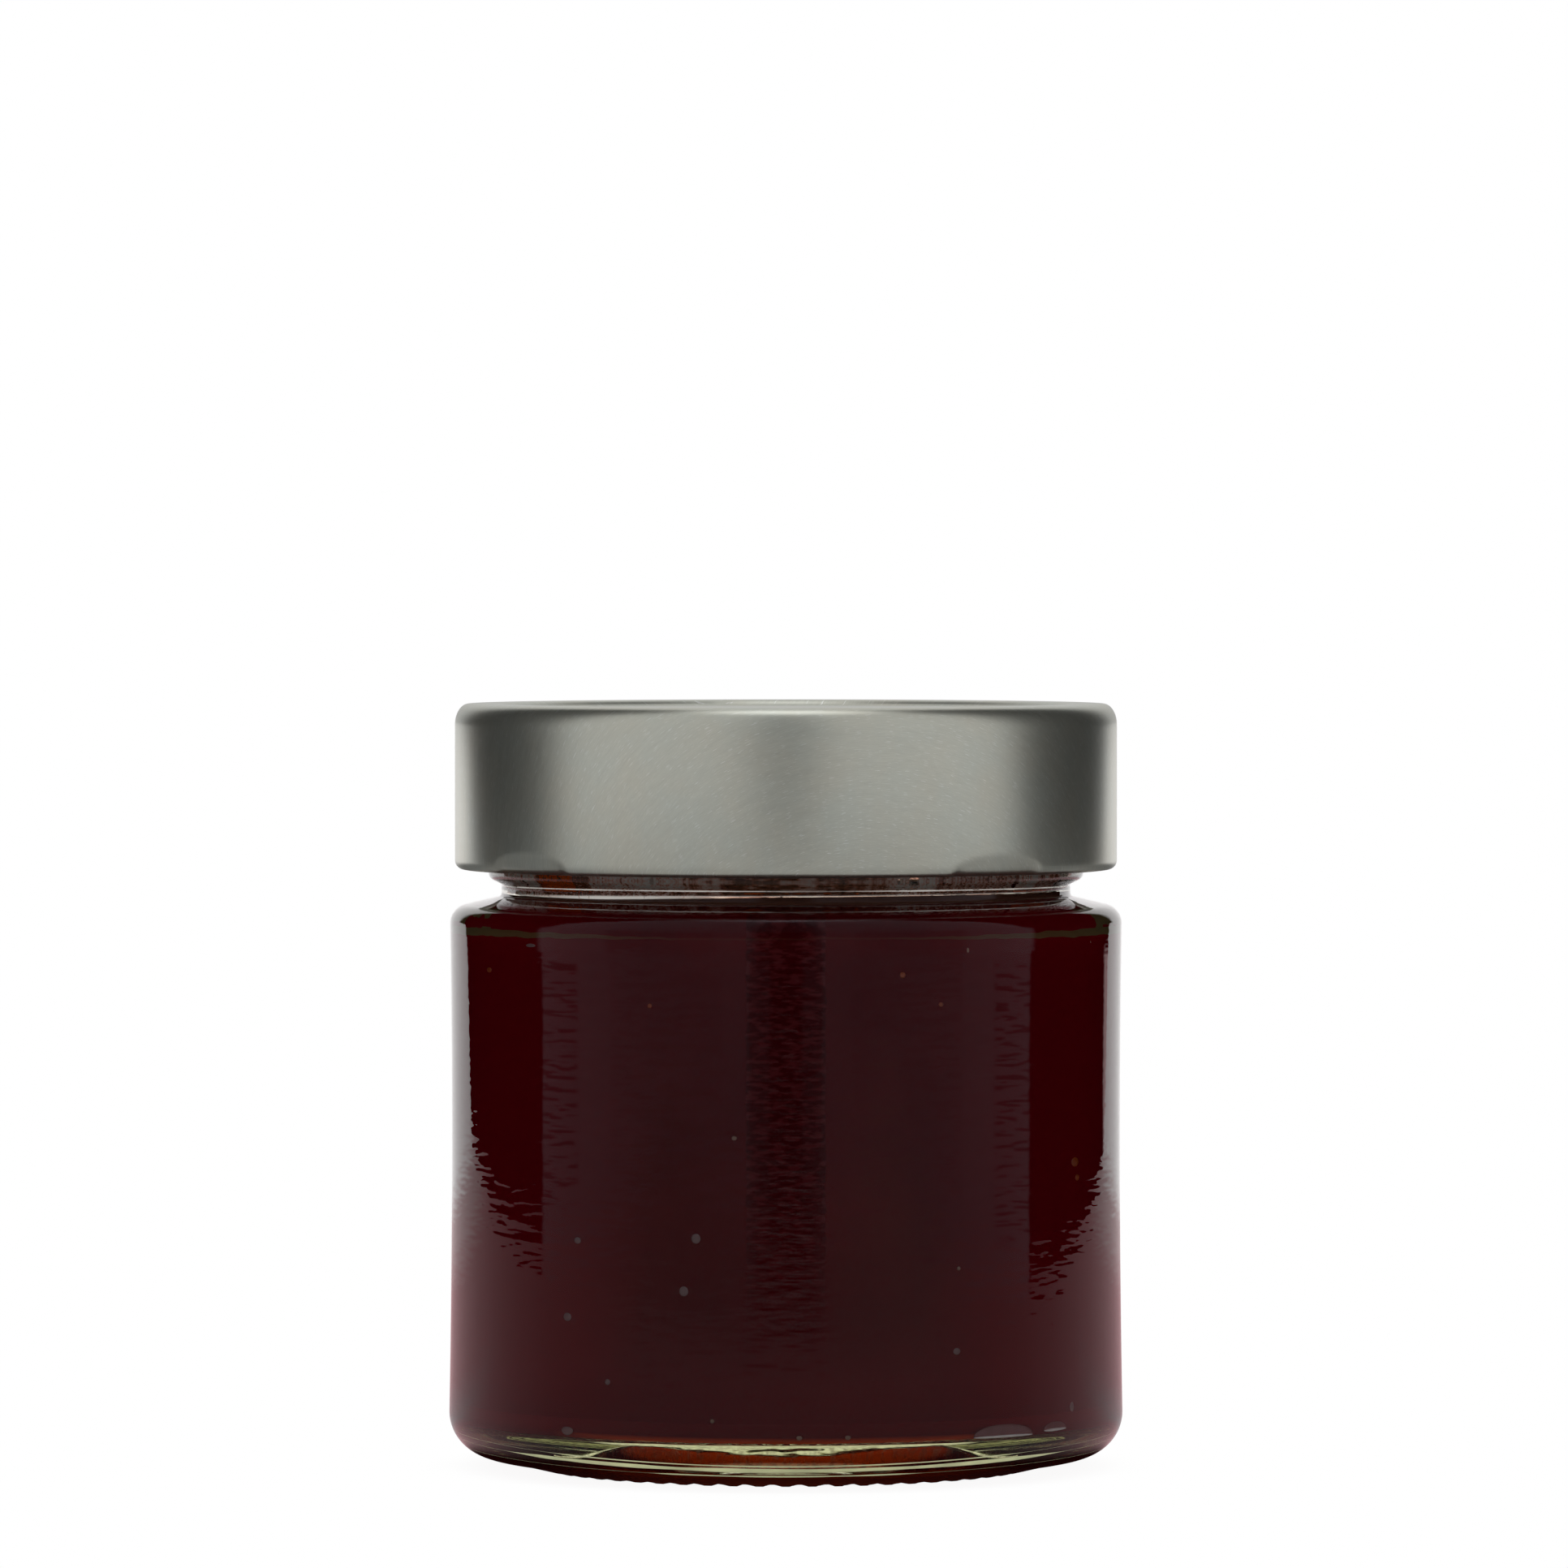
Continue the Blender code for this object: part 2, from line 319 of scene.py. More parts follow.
class Wire:
    """One output of a node in a sheet. Arithmetic on it adds nodes."""

    def __init__(self, sheet: Sheet, socket: bpy.types.NodeSocket) -> None:
        """Keeps the socket and its sheet."""
        self.sheet = sheet
        self.socket = socket

    def __add__(self, other: Wire | float) -> Wire:
        """Sum."""
        return self.sheet.math("ADD", self, other)

    def __sub__(self, other: Wire | float) -> Wire:
        """Difference."""
        return self.sheet.math("SUBTRACT", self, other)

    def __rsub__(self, other: float) -> Wire:
        """Difference from a number."""
        return self.sheet.math("SUBTRACT", other, self)

    def __mul__(self, other: Wire | float) -> Wire:
        """Product."""
        return self.sheet.math("MULTIPLY", self, other)

    def __truediv__(self, other: Wire | float) -> Wire:
        """Quotient."""
        return self.sheet.math("DIVIDE", self, other)

    def __lt__(self, other: Wire | float) -> Wire:
        """1 where this is the smaller, and 0 elsewhere."""
        return self.sheet.math("LESS_THAN", self, other)

    def __abs__(self) -> Wire:
        """Size without sign."""
        return self.sheet.math("ABSOLUTE", self)

    def peak(self, other: Wire | float) -> Wire:
        """The larger of the two."""
        return self.sheet.math("MAXIMUM", self, other)

    def between(self, low: float, high: float, start: float = 0.0, end: float = 1.0, **settings: Any) -> Wire:
        """Start at low and below, end at high and above, and straight between."""
        values = {"Value": self, "From Min": low, "From Max": high, "To Min": start, "To Max": end}
        return self.sheet.add("MapRange", values, **settings)


Tone = Wire | Triple


class Sheet:
    """The node tree of a material or world, with short calls to add nodes and to join them."""

    def __init__(self, owner: bpy.types.Material | bpy.types.World) -> None:
        """Empties the owner's node tree.

        Args:
            owner: the material or world that the nodes belong to.
        """
        owner.use_nodes = True
        self.owner = owner
        self.tree = owner.node_tree
        self.tree.nodes.clear()

    def node(self, kind: str, inputs: dict | None = None, **settings: Any) -> bpy.types.Node:
        """Adds a node.

        Args:
            kind: the node's type, without ShaderNode in front.
            inputs: values, or wires to join, by input name or number.
            settings: the node's own properties.

        Returns:
            The new node.
        """
        node = self.tree.nodes.new("ShaderNode" + kind)
        for key, value in settings.items():
            setattr(node, key, value)
        for key, value in (inputs or {}).items():
            socket = node.inputs[key]
            if isinstance(value, Wire):
                self.tree.links.new(value.socket, socket)
            else:
                socket.default_value = (*value, 1.0) if socket.type == "RGBA" else value
        return node

    def add(self, kind: str, inputs: dict | None = None, output: int | str = 0, **settings: Any) -> Wire:
        """Adds a node and gives one of its outputs."""
        return Wire(self, self.node(kind, inputs, **settings).outputs[output])

    def math(self, operation: str, *values: Wire | float) -> Wire:
        """Result of a Math node."""
        return self.add("Math", dict(enumerate(values)), operation=operation)

    def ramp(self, factor: Wire, *stops: tuple[float, Triple]) -> Wire:
        """Colour at factor, from stops of position and colour.

        Args:
            factor: where on the ramp.
            stops: positions and colours, in order.

        Returns:
            The colour.
        """
        node = self.node("ValToRGB", {"Fac": factor})
        elements = node.color_ramp.elements
        while len(elements) < len(stops):
            elements.new(0.5)
        for element, (position, colour) in zip(elements, stops):
            element.position = position
            element.color = (*colour, 1.0)
        return Wire(self, node.outputs["Color"])

    def mix(self, factor: Wire | float, first: Tone, second: Tone, way: str = "MIX") -> Wire:
        """Colour between first and second."""
        return self.add("Mix", {0: factor, 6: first, 7: second}, 2, data_type="RGBA", blend_type=way)

    def noise(self, vector: Wire, scale: float | Triple, detail: float = 2.0, rough: float = 0.5) -> Wire:
        """Factor of a Noise texture, stretched where scale has a value for each axis.

        Args:
            vector: the point.
            scale: lumps to the metre, or one value an axis.
            detail: octaves.
            rough: share of each octave in the one before.

        Returns:
            The noise, about 0.5.
        """
        if isinstance(scale, tuple):
            vector, scale = self.add("Mapping", {"Vector": vector, "Scale": scale}), 1.0
        values = {"Vector": vector, "Scale": scale, "Detail": detail, "Roughness": rough}
        return self.add("TexNoise", values, "Fac")

    def place(self) -> Wire:
        """The point on the object, in metres."""
        return self.add("TexCoord", output="Object")

    def length(self, vector: Wire) -> Wire:
        """Length of a vector."""
        return self.add("VectorMath", {0: vector}, "Value", operation="LENGTH")

    def axes(self, vector: Wire) -> list[Wire]:
        """The x, y and z of a vector."""
        return [Wire(self, socket) for socket in self.node("SeparateXYZ", {"Vector": vector}).outputs]

    def bump(self, height: Wire, distance: float = 1.0, strength: float = 1.0, **under: Wire) -> Wire:
        """Normal of a relief, on top of another one passed as Normal."""
        return self.add("Bump", {"Height": height, "Distance": distance, "Strength": strength, **under})

    def blend(self, share: Wire | float, first: Wire, second: Wire) -> Wire:
        """Shader between first and second."""
        return self.add("MixShader", {0: share, 1: first, 2: second})

    def thin(self, colour: Tone, face: float) -> Wire:
        """Shader of thin matt matter: light through it, and a share of face off it."""
        kinds = ("BsdfTranslucent", "BsdfDiffuse")
        return self.blend(face, *(self.add(kind, {"Color": colour}) for kind in kinds))

    def glow(self, colour: Tone, strength: float = 1.0) -> Wire:
        """Shader with light of its own."""
        return self.add("Emission", {"Color": colour, "Strength": strength})

    def finish(self, surface: Wire, kind: str = "Material", **more: Wire) -> bpy.types.ID:
        """Joins the shaders to an output node and gives the owner.

        Args:
            surface: shader of the surface.
            kind: what the output node is for.
            more: shaders by the names of other inputs.

        Returns:
            The owner.
        """
        self.node("Output" + kind, {"Surface": surface, **more})
        return self.owner


def new_sheet(name: str) -> Sheet:
    """A sheet on a new material."""
    return Sheet(bpy.data.materials.new(name))


@dataclass(frozen=True)
class GlassFinish:
    """Pressed container glass: clear, faintly green, with an orange-peel skin and a rippled mould seam."""

    tint: Triple = (0.86, 0.87, 0.75)
    absorb: float = 66.0
    index: float = 1.52
    head_on_gloss: Triple = (0.33, 0.33, 0.33)
    worm_scale: Triple = (300.0, 300.0, 1100.0)
    worm_height: float = 0.013 * MM
    wave_scale: Triple = (370.0, 370.0, 60.0)
    wave_height: float = 0.006 * MM
    skin_z: Pair = (3.0 * MM, 7.0 * MM)
    skin_low_share: float = 0.1
    seam_scale: Triple = (450.0, 450.0, 2000.0)
    seam_height: float = 0.014 * MM
    seam_x: Pair = (3.8 * MM, 4.6 * MM)
    seam_z: Pair = (14.0 * MM, 30.0 * MM)

    def build(self) -> bpy.types.Material:
        """Makes the material.

        Returns:
            The new material.
        """
        sheet = new_sheet("pressed_glass")
        spot = sheet.place()
        x, y, z = sheet.axes(spot)
        wave = sheet.noise(spot, self.wave_scale, 1.0) * self.wave_height
        worm = sheet.noise(spot, self.worm_scale, 1.0) * self.worm_height
        seam = sheet.noise(spot, self.seam_scale, 1.0) * self.seam_height
        seam *= abs(x).between(*self.seam_x, 1.0, 0.0) * (y < 0.0) * z.between(*self.seam_z)
        relief = (wave + worm + seam) * z.between(*self.skin_z, self.skin_low_share)
        values = {
            "Base Color": (1.0, 1.0, 1.0),
            "Roughness": 0.0,
            "IOR": self.index,
            "Specular Tint": self.head_on_gloss,
            "Transmission Weight": 1.0,
            "Normal": sheet.bump(relief),
        }
        depth = sheet.add("VolumeAbsorption", {"Color": self.tint, "Density": self.absorb})
        return sheet.finish(sheet.add("BsdfPrincipled", values), Volume=depth)


@dataclass(frozen=True)
class JamFinish:
    """Dark wine-red jam wetting the glass, with light painted into its colour: a painted orange glow on
    its floor for light coming in through the base, a painted lighter red at the sides and low down, a
    painted highlight line under the shoulder, and a painted reflection of a dark stripe with ripples
    along the mould seam in front.

    Each pair says where a change begins and ends. In metres, side is the distance from the middle plane,
    r the distance from the axis, and low and z are heights. Slant and froth are shares.
    """

    floor_z: float
    deep: Triple = (0.086, 0.0008, 0.0034)
    warm: Triple = (0.112, 0.0030, 0.0050)
    # Painted light: the lighter red painted at the sides and low down, and where it sets in.
    bright: Triple = (0.162, 0.0016, 0.0060)
    painted_light_side: Pair = (14 * MM, 31 * MM)
    painted_light_low: Pair = (7 * MM, 18 * MM)
    painted_light_low_share: float = 0.5
    # Painted light: the orange glow painted on the floor and over the dome, and where it sets in.
    glow: Triple = (0.80, 0.080, 0.009)
    painted_glow_side: Pair = (14 * MM, 24 * MM)
    dome_r: Pair = (14 * MM, 16 * MM)
    dome_z: Pair = (10 * MM, 11 * MM)
    skin: Triple = (0.200, 0.080, 0.055)
    skin_z: Pair = (60.8 * MM, 61.4 * MM)
    mirror: Triple = (1.0, 0.99, 0.95)
    mirror_slant: Pair = (0.62, 0.66)
    froth: Pair = (0.38, 0.56)
    froth_z: Pair = (7 * MM, 9 * MM)
    # Painted reflection: the dark strip and lighter ripples painted along the mould seam in front.
    painted_stripe_dark: Triple = (0.062, 0.0006, 0.0026)
    painted_ripple_light: Triple = (0.108, 0.010, 0.014)
    painted_stripe_half: float = 4.35 * MM
    seam_z: Pair = (16 * MM, 34 * MM)
    seam_scale: Triple = (640.0, 640.0, 2000.0)
    # Painted highlight: the pale line painted under the shoulder, its height, width and tone.
    ring: Triple = (0.120, 0.088, 0.040)
    highlight_ring_z: float = 58.65 * MM
    highlight_ring_half: float = 0.42 * MM
    highlight_ring_side: Pair = (14 * MM, 33 * MM)
    highlight_ring_tone_side: Pair = (10 * MM, 32 * MM)
    cloud_scale: float = 55.0

    def build(self) -> bpy.types.Material:
        """Makes the material.

        Returns:
            The new material.
        """
        sheet = new_sheet("dark_jam")
        spot = sheet.place()
        x, _, height = sheet.axes(spot)
        side = abs(x)
        body = sheet.ramp(sheet.noise(spot, self.cloud_scale, 4.0, 0.6), (0.35, self.deep), (0.72, self.warm))
        # Painted light: the jam is painted a lighter red low down and towards the sides.
        low = height.between(*self.painted_light_low, self.painted_light_low_share, 0.0)
        body = sheet.mix(low.peak(side.between(*self.painted_light_side)), body, self.bright)
        # Painted reflection: in front along the mould seam, a dark strip with lighter ripples is painted on
        # the jam.
        body = sheet.mix(self.seam(sheet, spot), body, self.ripple(sheet, spot))
        # Painted light: an orange glow painted on the jam's floor and over the base's dome, for light coming
        # in through the base.
        rise = height.between(self.floor_z + 0.1 * MM, self.floor_z + 0.6 * MM)
        rise = rise.peak(side.between(*self.painted_glow_side))
        flat = sheet.add("VectorMath", {0: spot, 1: (1.0, 1.0, 0.0)}, operation="MULTIPLY")
        off_dome = sheet.length(flat).between(*self.dome_r).peak(height.between(*self.dome_z))
        colour = sheet.mix(rise * off_dome, self.glow, body)
        # Painted highlight: a pale wavering line painted under the shoulder, wider and stronger towards the
        # sides.
        wander = (sheet.noise(spot, 260.0, 3.0) - 0.5) * (0.5 * MM)
        half = side.between(*self.highlight_ring_side, self.highlight_ring_half / 4, self.highlight_ring_half)
        in_highlight_ring = abs(height - self.highlight_ring_z + wander) < half
        colour = sheet.mix(in_highlight_ring * side.between(*self.highlight_ring_tone_side, 0.10, 0.95), colour, self.ring)
        colour = sheet.mix(height.between(*self.skin_z), colour, self.skin)
        values = {
            "Base Color": colour,
            "Roughness": 0.22,
            "IOR": 1.42,
            "Specular IOR Level": 0.02,
            "Normal": sheet.bump(sheet.noise(spot, 420.0, 3.0), 0.02 * MM),
        }
        jam = sheet.add("BsdfPrincipled", values)
        mirror = sheet.add("BsdfGlossy", {"Color": self.mirror, "Roughness": 0.02})
        slant = sheet.add("LayerWeight", {"Blend": 0.5}, "Facing").between(*self.mirror_slant)
        froth = sheet.noise(spot, 1500.0, 3.0, 0.6).between(*self.froth, 0.5)
        froth = froth.peak(height.between(*self.froth_z))
        return sheet.finish(sheet.blend(slant * (height < self.skin_z[0]) * froth, jam, mirror))

    def ripple(self, sheet: Sheet, spot: Wire) -> Wire:
        """Painted reflection on the jam behind the mould seam: a dark strip with lighter flat ripples, for
        the stripe and ripples reflected in the glass.

        Args:
            sheet: the jam's sheet.
            spot: the point on the jam.

        Returns:
            The colour.
        """
        grain = sheet.noise(spot, self.seam_scale)
        return sheet.mix(grain.between(0.46, 0.62), self.painted_stripe_dark, self.painted_ripple_light)

    def seam(self, sheet: Sheet, spot: Wire) -> Wire:
        """Share of the strip of painted reflection at the seam: narrow, in front, with an uneven edge, fading
        out towards the base.

        Args:
            sheet: the jam's sheet.
            spot: the point on the jam.

        Returns:
            0 off the strip, and up to 1 on it.
        """
        x, y, height = sheet.axes(spot)
        inside = abs(x) + sheet.noise(spot, 900.0, 1.0) * (0.5 * MM) < self.painted_stripe_half
        return inside * (y < 0.0) * height.between(*self.seam_z)


@dataclass(frozen=True)
class FilmFinish:
    """Jam smeared thin on the bore: it filters light by its depth, holds pale pulp in grains, and carries
    painted highlights: pale lines with a little light of their own.
    """

    depth_map: str = "depth"
    pulp_map: str = "pulp"
    gleam_map: str = "gleam"
    clear: Triple = (0.97, 0.96, 0.93)
    pale: Triple = (0.70, 0.50, 0.43)
    dark: Triple = (0.13, 0.060, 0.042)
    pulp_tones: tuple[tuple[float, Triple], ...] = (
        (0.05, (1.0, 0.93, 0.90)),
        (0.18, (0.97, 0.76, 0.71)),
        (0.32, (0.90, 0.60, 0.53)),
        (0.48, (0.60, 0.24, 0.15)),
        (0.62, (0.26, 0.11, 0.062)),
        (0.80, (0.26, 0.11, 0.062)),
        (0.92, (0.95, 0.17, 0.022)),
    )
    # Painted highlights: the pale colour and the light of their own of the lines on the gleam map.
    gleam: Triple = (0.97, 0.94, 0.90)
    gleam_light: float = 0.30
    grain_scale: float = 3300.0
    lump_scale: float = 1100.0
    streak_scale: Triple = (500.0, 500.0, 3600.0)
    streak_side: Pair = (7 * MM, 12 * MM)

    def build(self) -> bpy.types.Material:
        """Makes the material.

        Returns:
            The new material.
        """
        sheet = new_sheet("jam_film")
        spot = sheet.place()
        maps = (self.depth_map, self.pulp_map, self.gleam_map)
        depth, pulp, shine = (sheet.add("Attribute", None, "Fac", attribute_name=name) for name in maps)
        grain = sheet.noise(spot, self.grain_scale, 1.5, 0.6)
        lumps = sheet.noise(spot, self.lump_scale, 2.0, 0.6)
        side = abs(sheet.axes(spot)[0])
        grain = sheet.mix(side.between(*self.streak_side), sheet.noise(spot, self.streak_scale), grain)
        tint = sheet.ramp(depth, (0.08, self.clear), (0.35, self.pale), (0.70, self.dark))
        filtered = sheet.add("BsdfTransparent", {"Color": tint})
        shade = (0.5 - grain) * 1.3 + (0.5 - lumps) * 0.7 + depth
        solid = sheet.thin(sheet.ramp(shade, *self.pulp_tones), 0.6)
        edge = 0.80 - pulp * 0.6
        share = (lumps - edge).between(0.0, 0.125) * pulp.between(0.0, 0.15)
        film = sheet.blend(share, filtered, solid)
        # Painted highlight: where the gleam map is set, the film turns pale and gives off a little light.
        bright = sheet.thin(self.gleam, 0.4)
        bright = sheet.add("AddShader", {0: bright, 1: sheet.glow(self.gleam, self.gleam_light)})
        return sheet.finish(sheet.blend(shine * lumps.between(0.22, 0.40), film, bright))


@dataclass(frozen=True)
class WetFinish:
    """A wet bead, bubble or speck, clear or solid, with a faintly clouded colour."""

    name: str
    colour: Triple
    index: float
    roughness: float = 0.02
    transmission: float = 1.0

    def build(self) -> bpy.types.Material:
        """Makes the material.

        Returns:
            The new material.
        """
        sheet = new_sheet(self.name)
        shade = sheet.noise(sheet.place(), 700.0)
        values = {
            "Base Color": sheet.mix(shade, self.colour, dimmed(self.colour, 0.7)),
            "Roughness": self.roughness,
            "IOR": self.index,
            "Transmission Weight": self.transmission,
        }
        return sheet.finish(sheet.add("BsdfPrincipled", values))


@dataclass(frozen=True)
class GleamFinish:
    """Painted light: pale greenish light in thick glass, painted as a matt cream with a little light of its
    own.
    """

    colour: Triple = (0.80, 0.82, 0.50)
    light: float = 0.42
    scale: Triple = (300.0, 300.0, 900.0)

    def build(self) -> bpy.types.Material:
        """Makes the material.

        Returns:
            The new material.
        """
        sheet = new_sheet("painted_heel_light")
        shade = sheet.noise(sheet.place(), self.scale).between(0.3, 0.7)
        colour = sheet.mix(shade, dimmed(self.colour, 0.75), self.colour)
        values = {"Base Color": colour, "Roughness": 0.6}
        values |= {"Emission Color": colour, "Emission Strength": self.light}
        return sheet.finish(sheet.add("BsdfPrincipled", values))


@dataclass(frozen=True)
class TinplateFinish:
    """Satin tinplate whose rolled grain runs straight across the blank, so it bends down the skirt.

    The scales are per millimetre of the flat blank. The belly is a shallow swell of the skirt's normals.
    """

    colour: Triple = (0.74, 0.74, 0.665)
    scratch: Triple = (0.93, 0.93, 0.90)
    roughness: float = 0.31
    roughness_spread: float = 0.06
    fine_scale: Triple = (9.0, 0.55, 1.0)
    coarse_scale: Triple = (1.6, 0.16, 1.0)
    cloud_scale: Triple = (0.10, 0.10, 1.0)
    scratch_scale: Triple = (14.0, 0.8, 1.0)
    grain_height: float = 0.006 * MM
    belly: float = 5.0
    belly_z: float = 74.0 * MM
    grain_map: str = "blank"

    def build(self) -> bpy.types.Material:
        """Makes the material.

        Returns:
            The new material.
        """
        sheet = new_sheet("satin_tinplate")
        blank = sheet.add("UVMap", uv_map=self.grain_map)
        fine = sheet.noise(blank, self.fine_scale, 3.0, 0.65)
        coarse = sheet.noise(blank, self.coarse_scale, 3.0, 0.6)
        streak = fine * 0.6 + coarse * 0.4
        tone = sheet.ramp(streak, (0.36, dimmed(self.colour, 0.90)), (0.62, self.colour))
        scratch = sheet.noise(blank, self.scratch_scale, 1.0, 0.4).between(0.66, 0.72)
        tone = sheet.mix(scratch, tone, self.scratch)
        cloud = sheet.noise(blank, self.cloud_scale, 3.0, 0.6)
        warm = sheet.ramp(cloud, (0.35, (0.97, 1.0, 1.0)), (0.65, (1.0, 0.99, 0.96)))
        off = sheet.axes(sheet.place())[2] - self.belly_z
        low, high = self.roughness - self.roughness_spread, self.roughness + self.roughness_spread
        values = {
            "Base Color": sheet.mix(1.0, tone, warm, "MULTIPLY"),
            "Metallic": 1.0,
            "Roughness": streak.between(0.0, 1.0, low, high),
            "Normal": sheet.bump(streak, self.grain_height, 0.6, Normal=sheet.bump(off * off * -self.belly)),
        }
        return sheet.finish(sheet.add("BsdfPrincipled", values))


# --- the jar ------------------------------------------------------------------------------------


@dataclass
class GlassJar:
    """The pressed glass jar, worked out as one profile turned round, with threads and knurl in relief."""

    body_r: float
    rim_z: float
    waist_r: float = 36.40 * MM
    waist_z: float = 36.0 * MM
    body_top_z: float = 59.2 * MM
    heel_top_z: float = 6.0 * MM
    neck_r: float = 31.0 * MM
    neck_top_z: float = 63.75 * MM
    finish_r: float = 32.4 * MM
    bore_r: float = 29.0 * MM
    wall: float = 2.25 * MM
    floor_z: float = 5.27 * MM
    floor_dome: float = 3.80 * MM
    floor_inner_r: float = 0.70 * MM
    floor_outer_r: float = 24.80 * MM
    inner_heel: float = 2.13 * MM
    inner_shoulder_drop: float = 2.4 * MM
    inner_shoulder_height: float = 3.4 * MM
    inner_shoulder_centre: float = 1.6 * MM
    inner_shoulder_end: float = 72.0
    root_height: float = 1.5 * MM
    root_bend: float = 0.35 * MM
    ring_inner_r: float = 17.0 * MM
    ring_outer_r: float = 26.96 * MM
    knurl_inner_r: float = 23.05 * MM
    cone: float = math.radians(13.44)
    shoulder_cone: float = math.radians(13.5)
    heel_round_r: float = 31.71 * MM
    push_up: float = 4.46 * MM
    push_run: float = 6.456 * MM
    knurls: int = 60
    knurl_depth: float = 0.3 * MM
    shoulder_round: float = 2.1 * MM
    neck_fillet: float = 0.45 * MM
    neck_gap: float = 0.45 * MM
    lip_round: float = 0.8 * MM
    lip_rise: float = 0.9 * MM
    rim_round: float = 1.1 * MM
    starts: int = 4
    first_thread: float = math.radians(-63.6)
    thread_span: float = math.radians(74.0)
    thread_rise: float = 4.2 * MM
    thread_low_z: float = 69.0 * MM
    thread_half: float = 1.35 * MM
    columns: int = 420

    def body_radius(self, z: Array | float) -> Array | float:
        """Outer radius at height z: a parabola about the waist, r = waist + (body - waist) t^2."""
        reach = (z - self.waist_z) / (self.waist_z - self.heel_top_z)
        return self.waist_r + (self.body_r - self.waist_r) * reach * reach

    def inner_profile(self, reach: float = 0.0) -> Array:
        """Inside of the glass from the floor's middle up into the bore.

        Args:
            reach: how far outwards of the real surface the profile lies.

        Returns:
            Array of (radius, height) points.
        """
        radius = self.body_radius(self.heel_top_z) - self.wall
        heel = self.inner_heel
        heel_centre = (radius - heel, self.floor_z + heel)
        floor = line((POLE_R, 0.0), (radius - heel, 0.0), 30)
        fall = smooth(floor[:, 0], self.floor_inner_r, self.floor_outer_r)
        floor[:, 1] = self.floor_z - reach + self.floor_dome * (1 - fall)
        corner = arc(heel_centre, heel + reach, -90, 0, 20)
        heights = np.linspace(heel_centre[1], self.body_top_z - self.inner_shoulder_drop, 9)
        wall = np.stack([self.body_radius(heights) - self.wall + reach, heights], axis=1)
        centre_r = self.bore_r + self.inner_shoulder_centre
        radii = (wall[-1, 0] - centre_r, self.inner_shoulder_height + reach)
        shoulder = arc((centre_r, heights[-1]), radii, 0, self.inner_shoulder_end, 9)
        start = shoulder[-1]
        blend_end = np.array([self.bore_r + reach, start[1] + self.root_height])
        share = np.linspace(0, 1, 8)[:, None]
        bend = np.array([self.bore_r + reach, start[1] + self.root_bend])
        blend = start * (1 - share) ** 2 + 2 * bend * share * (1 - share) + blend_end * share**2
        return joined(floor, corner, wall, shoulder, blend)

    def outer_profile(self) -> Array:
        """Outside of the glass from the top of its rim down to the middle of its base.

        Returns:
            Array of (radius, height) points.
        """
        rim_z = self.rim_z - self.rim_round
        rim = arc((self.finish_r - self.rim_round, rim_z), self.rim_round, 90, 0, 6)
        finish_end = (self.finish_r, self.neck_top_z + self.lip_rise)
        finish = line((self.finish_r, rim_z), finish_end, 20)
        lip = arc((self.finish_r - self.lip_round, finish_end[1]), self.lip_round, 0, -60, 6)
        body_r = self.body_radius(self.body_top_z)
        corner_r = self.shoulder_round
        corner_start = 90 - math.degrees(self.shoulder_cone)
        corner = arc((body_r - corner_r, self.body_top_z), corner_r, corner_start, 0, 12)
        fillet_r = self.neck_r + self.neck_fillet
        fillet_z = corner[0, 1] + (corner[0, 0] - fillet_r) * math.tan(self.shoulder_cone)
        fillet_end = 270 - math.degrees(self.shoulder_cone)
        fillet = arc((fillet_r, fillet_z + self.neck_fillet), self.neck_fillet, 180, fillet_end, 6)
        neck = line((self.neck_r, lip[-1, 1] - self.neck_gap), (self.neck_r, fillet_z + self.neck_fillet), 2)
        slope = line(tuple(fillet[-1]), tuple(corner[0]), 2)
        heights = np.linspace(self.body_top_z, self.heel_top_z, 16)
        side = np.stack([self.body_radius(heights), heights], axis=1)
        heel_z = (self.heel_round_r - self.ring_outer_r) * math.tan(self.cone)
        heel_radii = (self.body_radius(self.heel_top_z) - self.heel_round_r, self.heel_top_z - heel_z)
        heel = arc((self.heel_round_r, self.heel_top_z), heel_radii, 0, -90, 28)
        cone = line((self.heel_round_r, heel_z), (self.ring_outer_r, 0.0), 10)
        ring = line((self.ring_outer_r, 0.0), (self.ring_inner_r, 0.0), 4)
        inside_r = self.ring_inner_r - self.push_run
        rise = line((self.ring_inner_r, 0.0), (inside_r, 0.0), 20)
        rise[:, 1] = self.push_up * smooth(-rise[:, 0], -self.ring_inner_r, -inside_r)
        panel = line((inside_r, self.push_up), (POLE_R, self.push_up), 2)
        return joined(rim, finish, lip, neck, fillet, slope, corner, side, heel, cone, ring, rise, panel)

    def knurl(self, azimuth: Array) -> Array:
        """Lift of the bearing ring's grooves: 0 on a bar, and knurl_depth between two bars."""
        swing = 0.5 - 0.5 * np.cos(self.knurls * azimuth)
        return self.knurl_depth * smooth(swing, 0.25, 0.95)

    def threads(self, azimuth: Array, height: Array) -> Array:
        """Height of the thread ramps over the finish: half-round ridges that rise anticlockwise.

        Args:
            azimuth: azimuths in radians.
            height: heights in metres.

        Returns:
            How far the ridge stands out.
        """
        relief = np.zeros(azimuth.shape)
        for start in range(self.starts):
            along = np.mod(azimuth - self.first_thread - start * math.tau / self.starts, math.tau)
            share = along / self.thread_span
            off = (height - self.thread_low_z - self.thread_rise * share) / self.thread_half
            ends = smooth(share, 0.0, 0.14) * (1 - smooth(share, 0.86, 1.0))
            relief = np.maximum(relief, ends * np.sqrt(np.clip(1 - off * off, 0, 1)))
        return relief * (self.thread_half + 0.15 * MM)

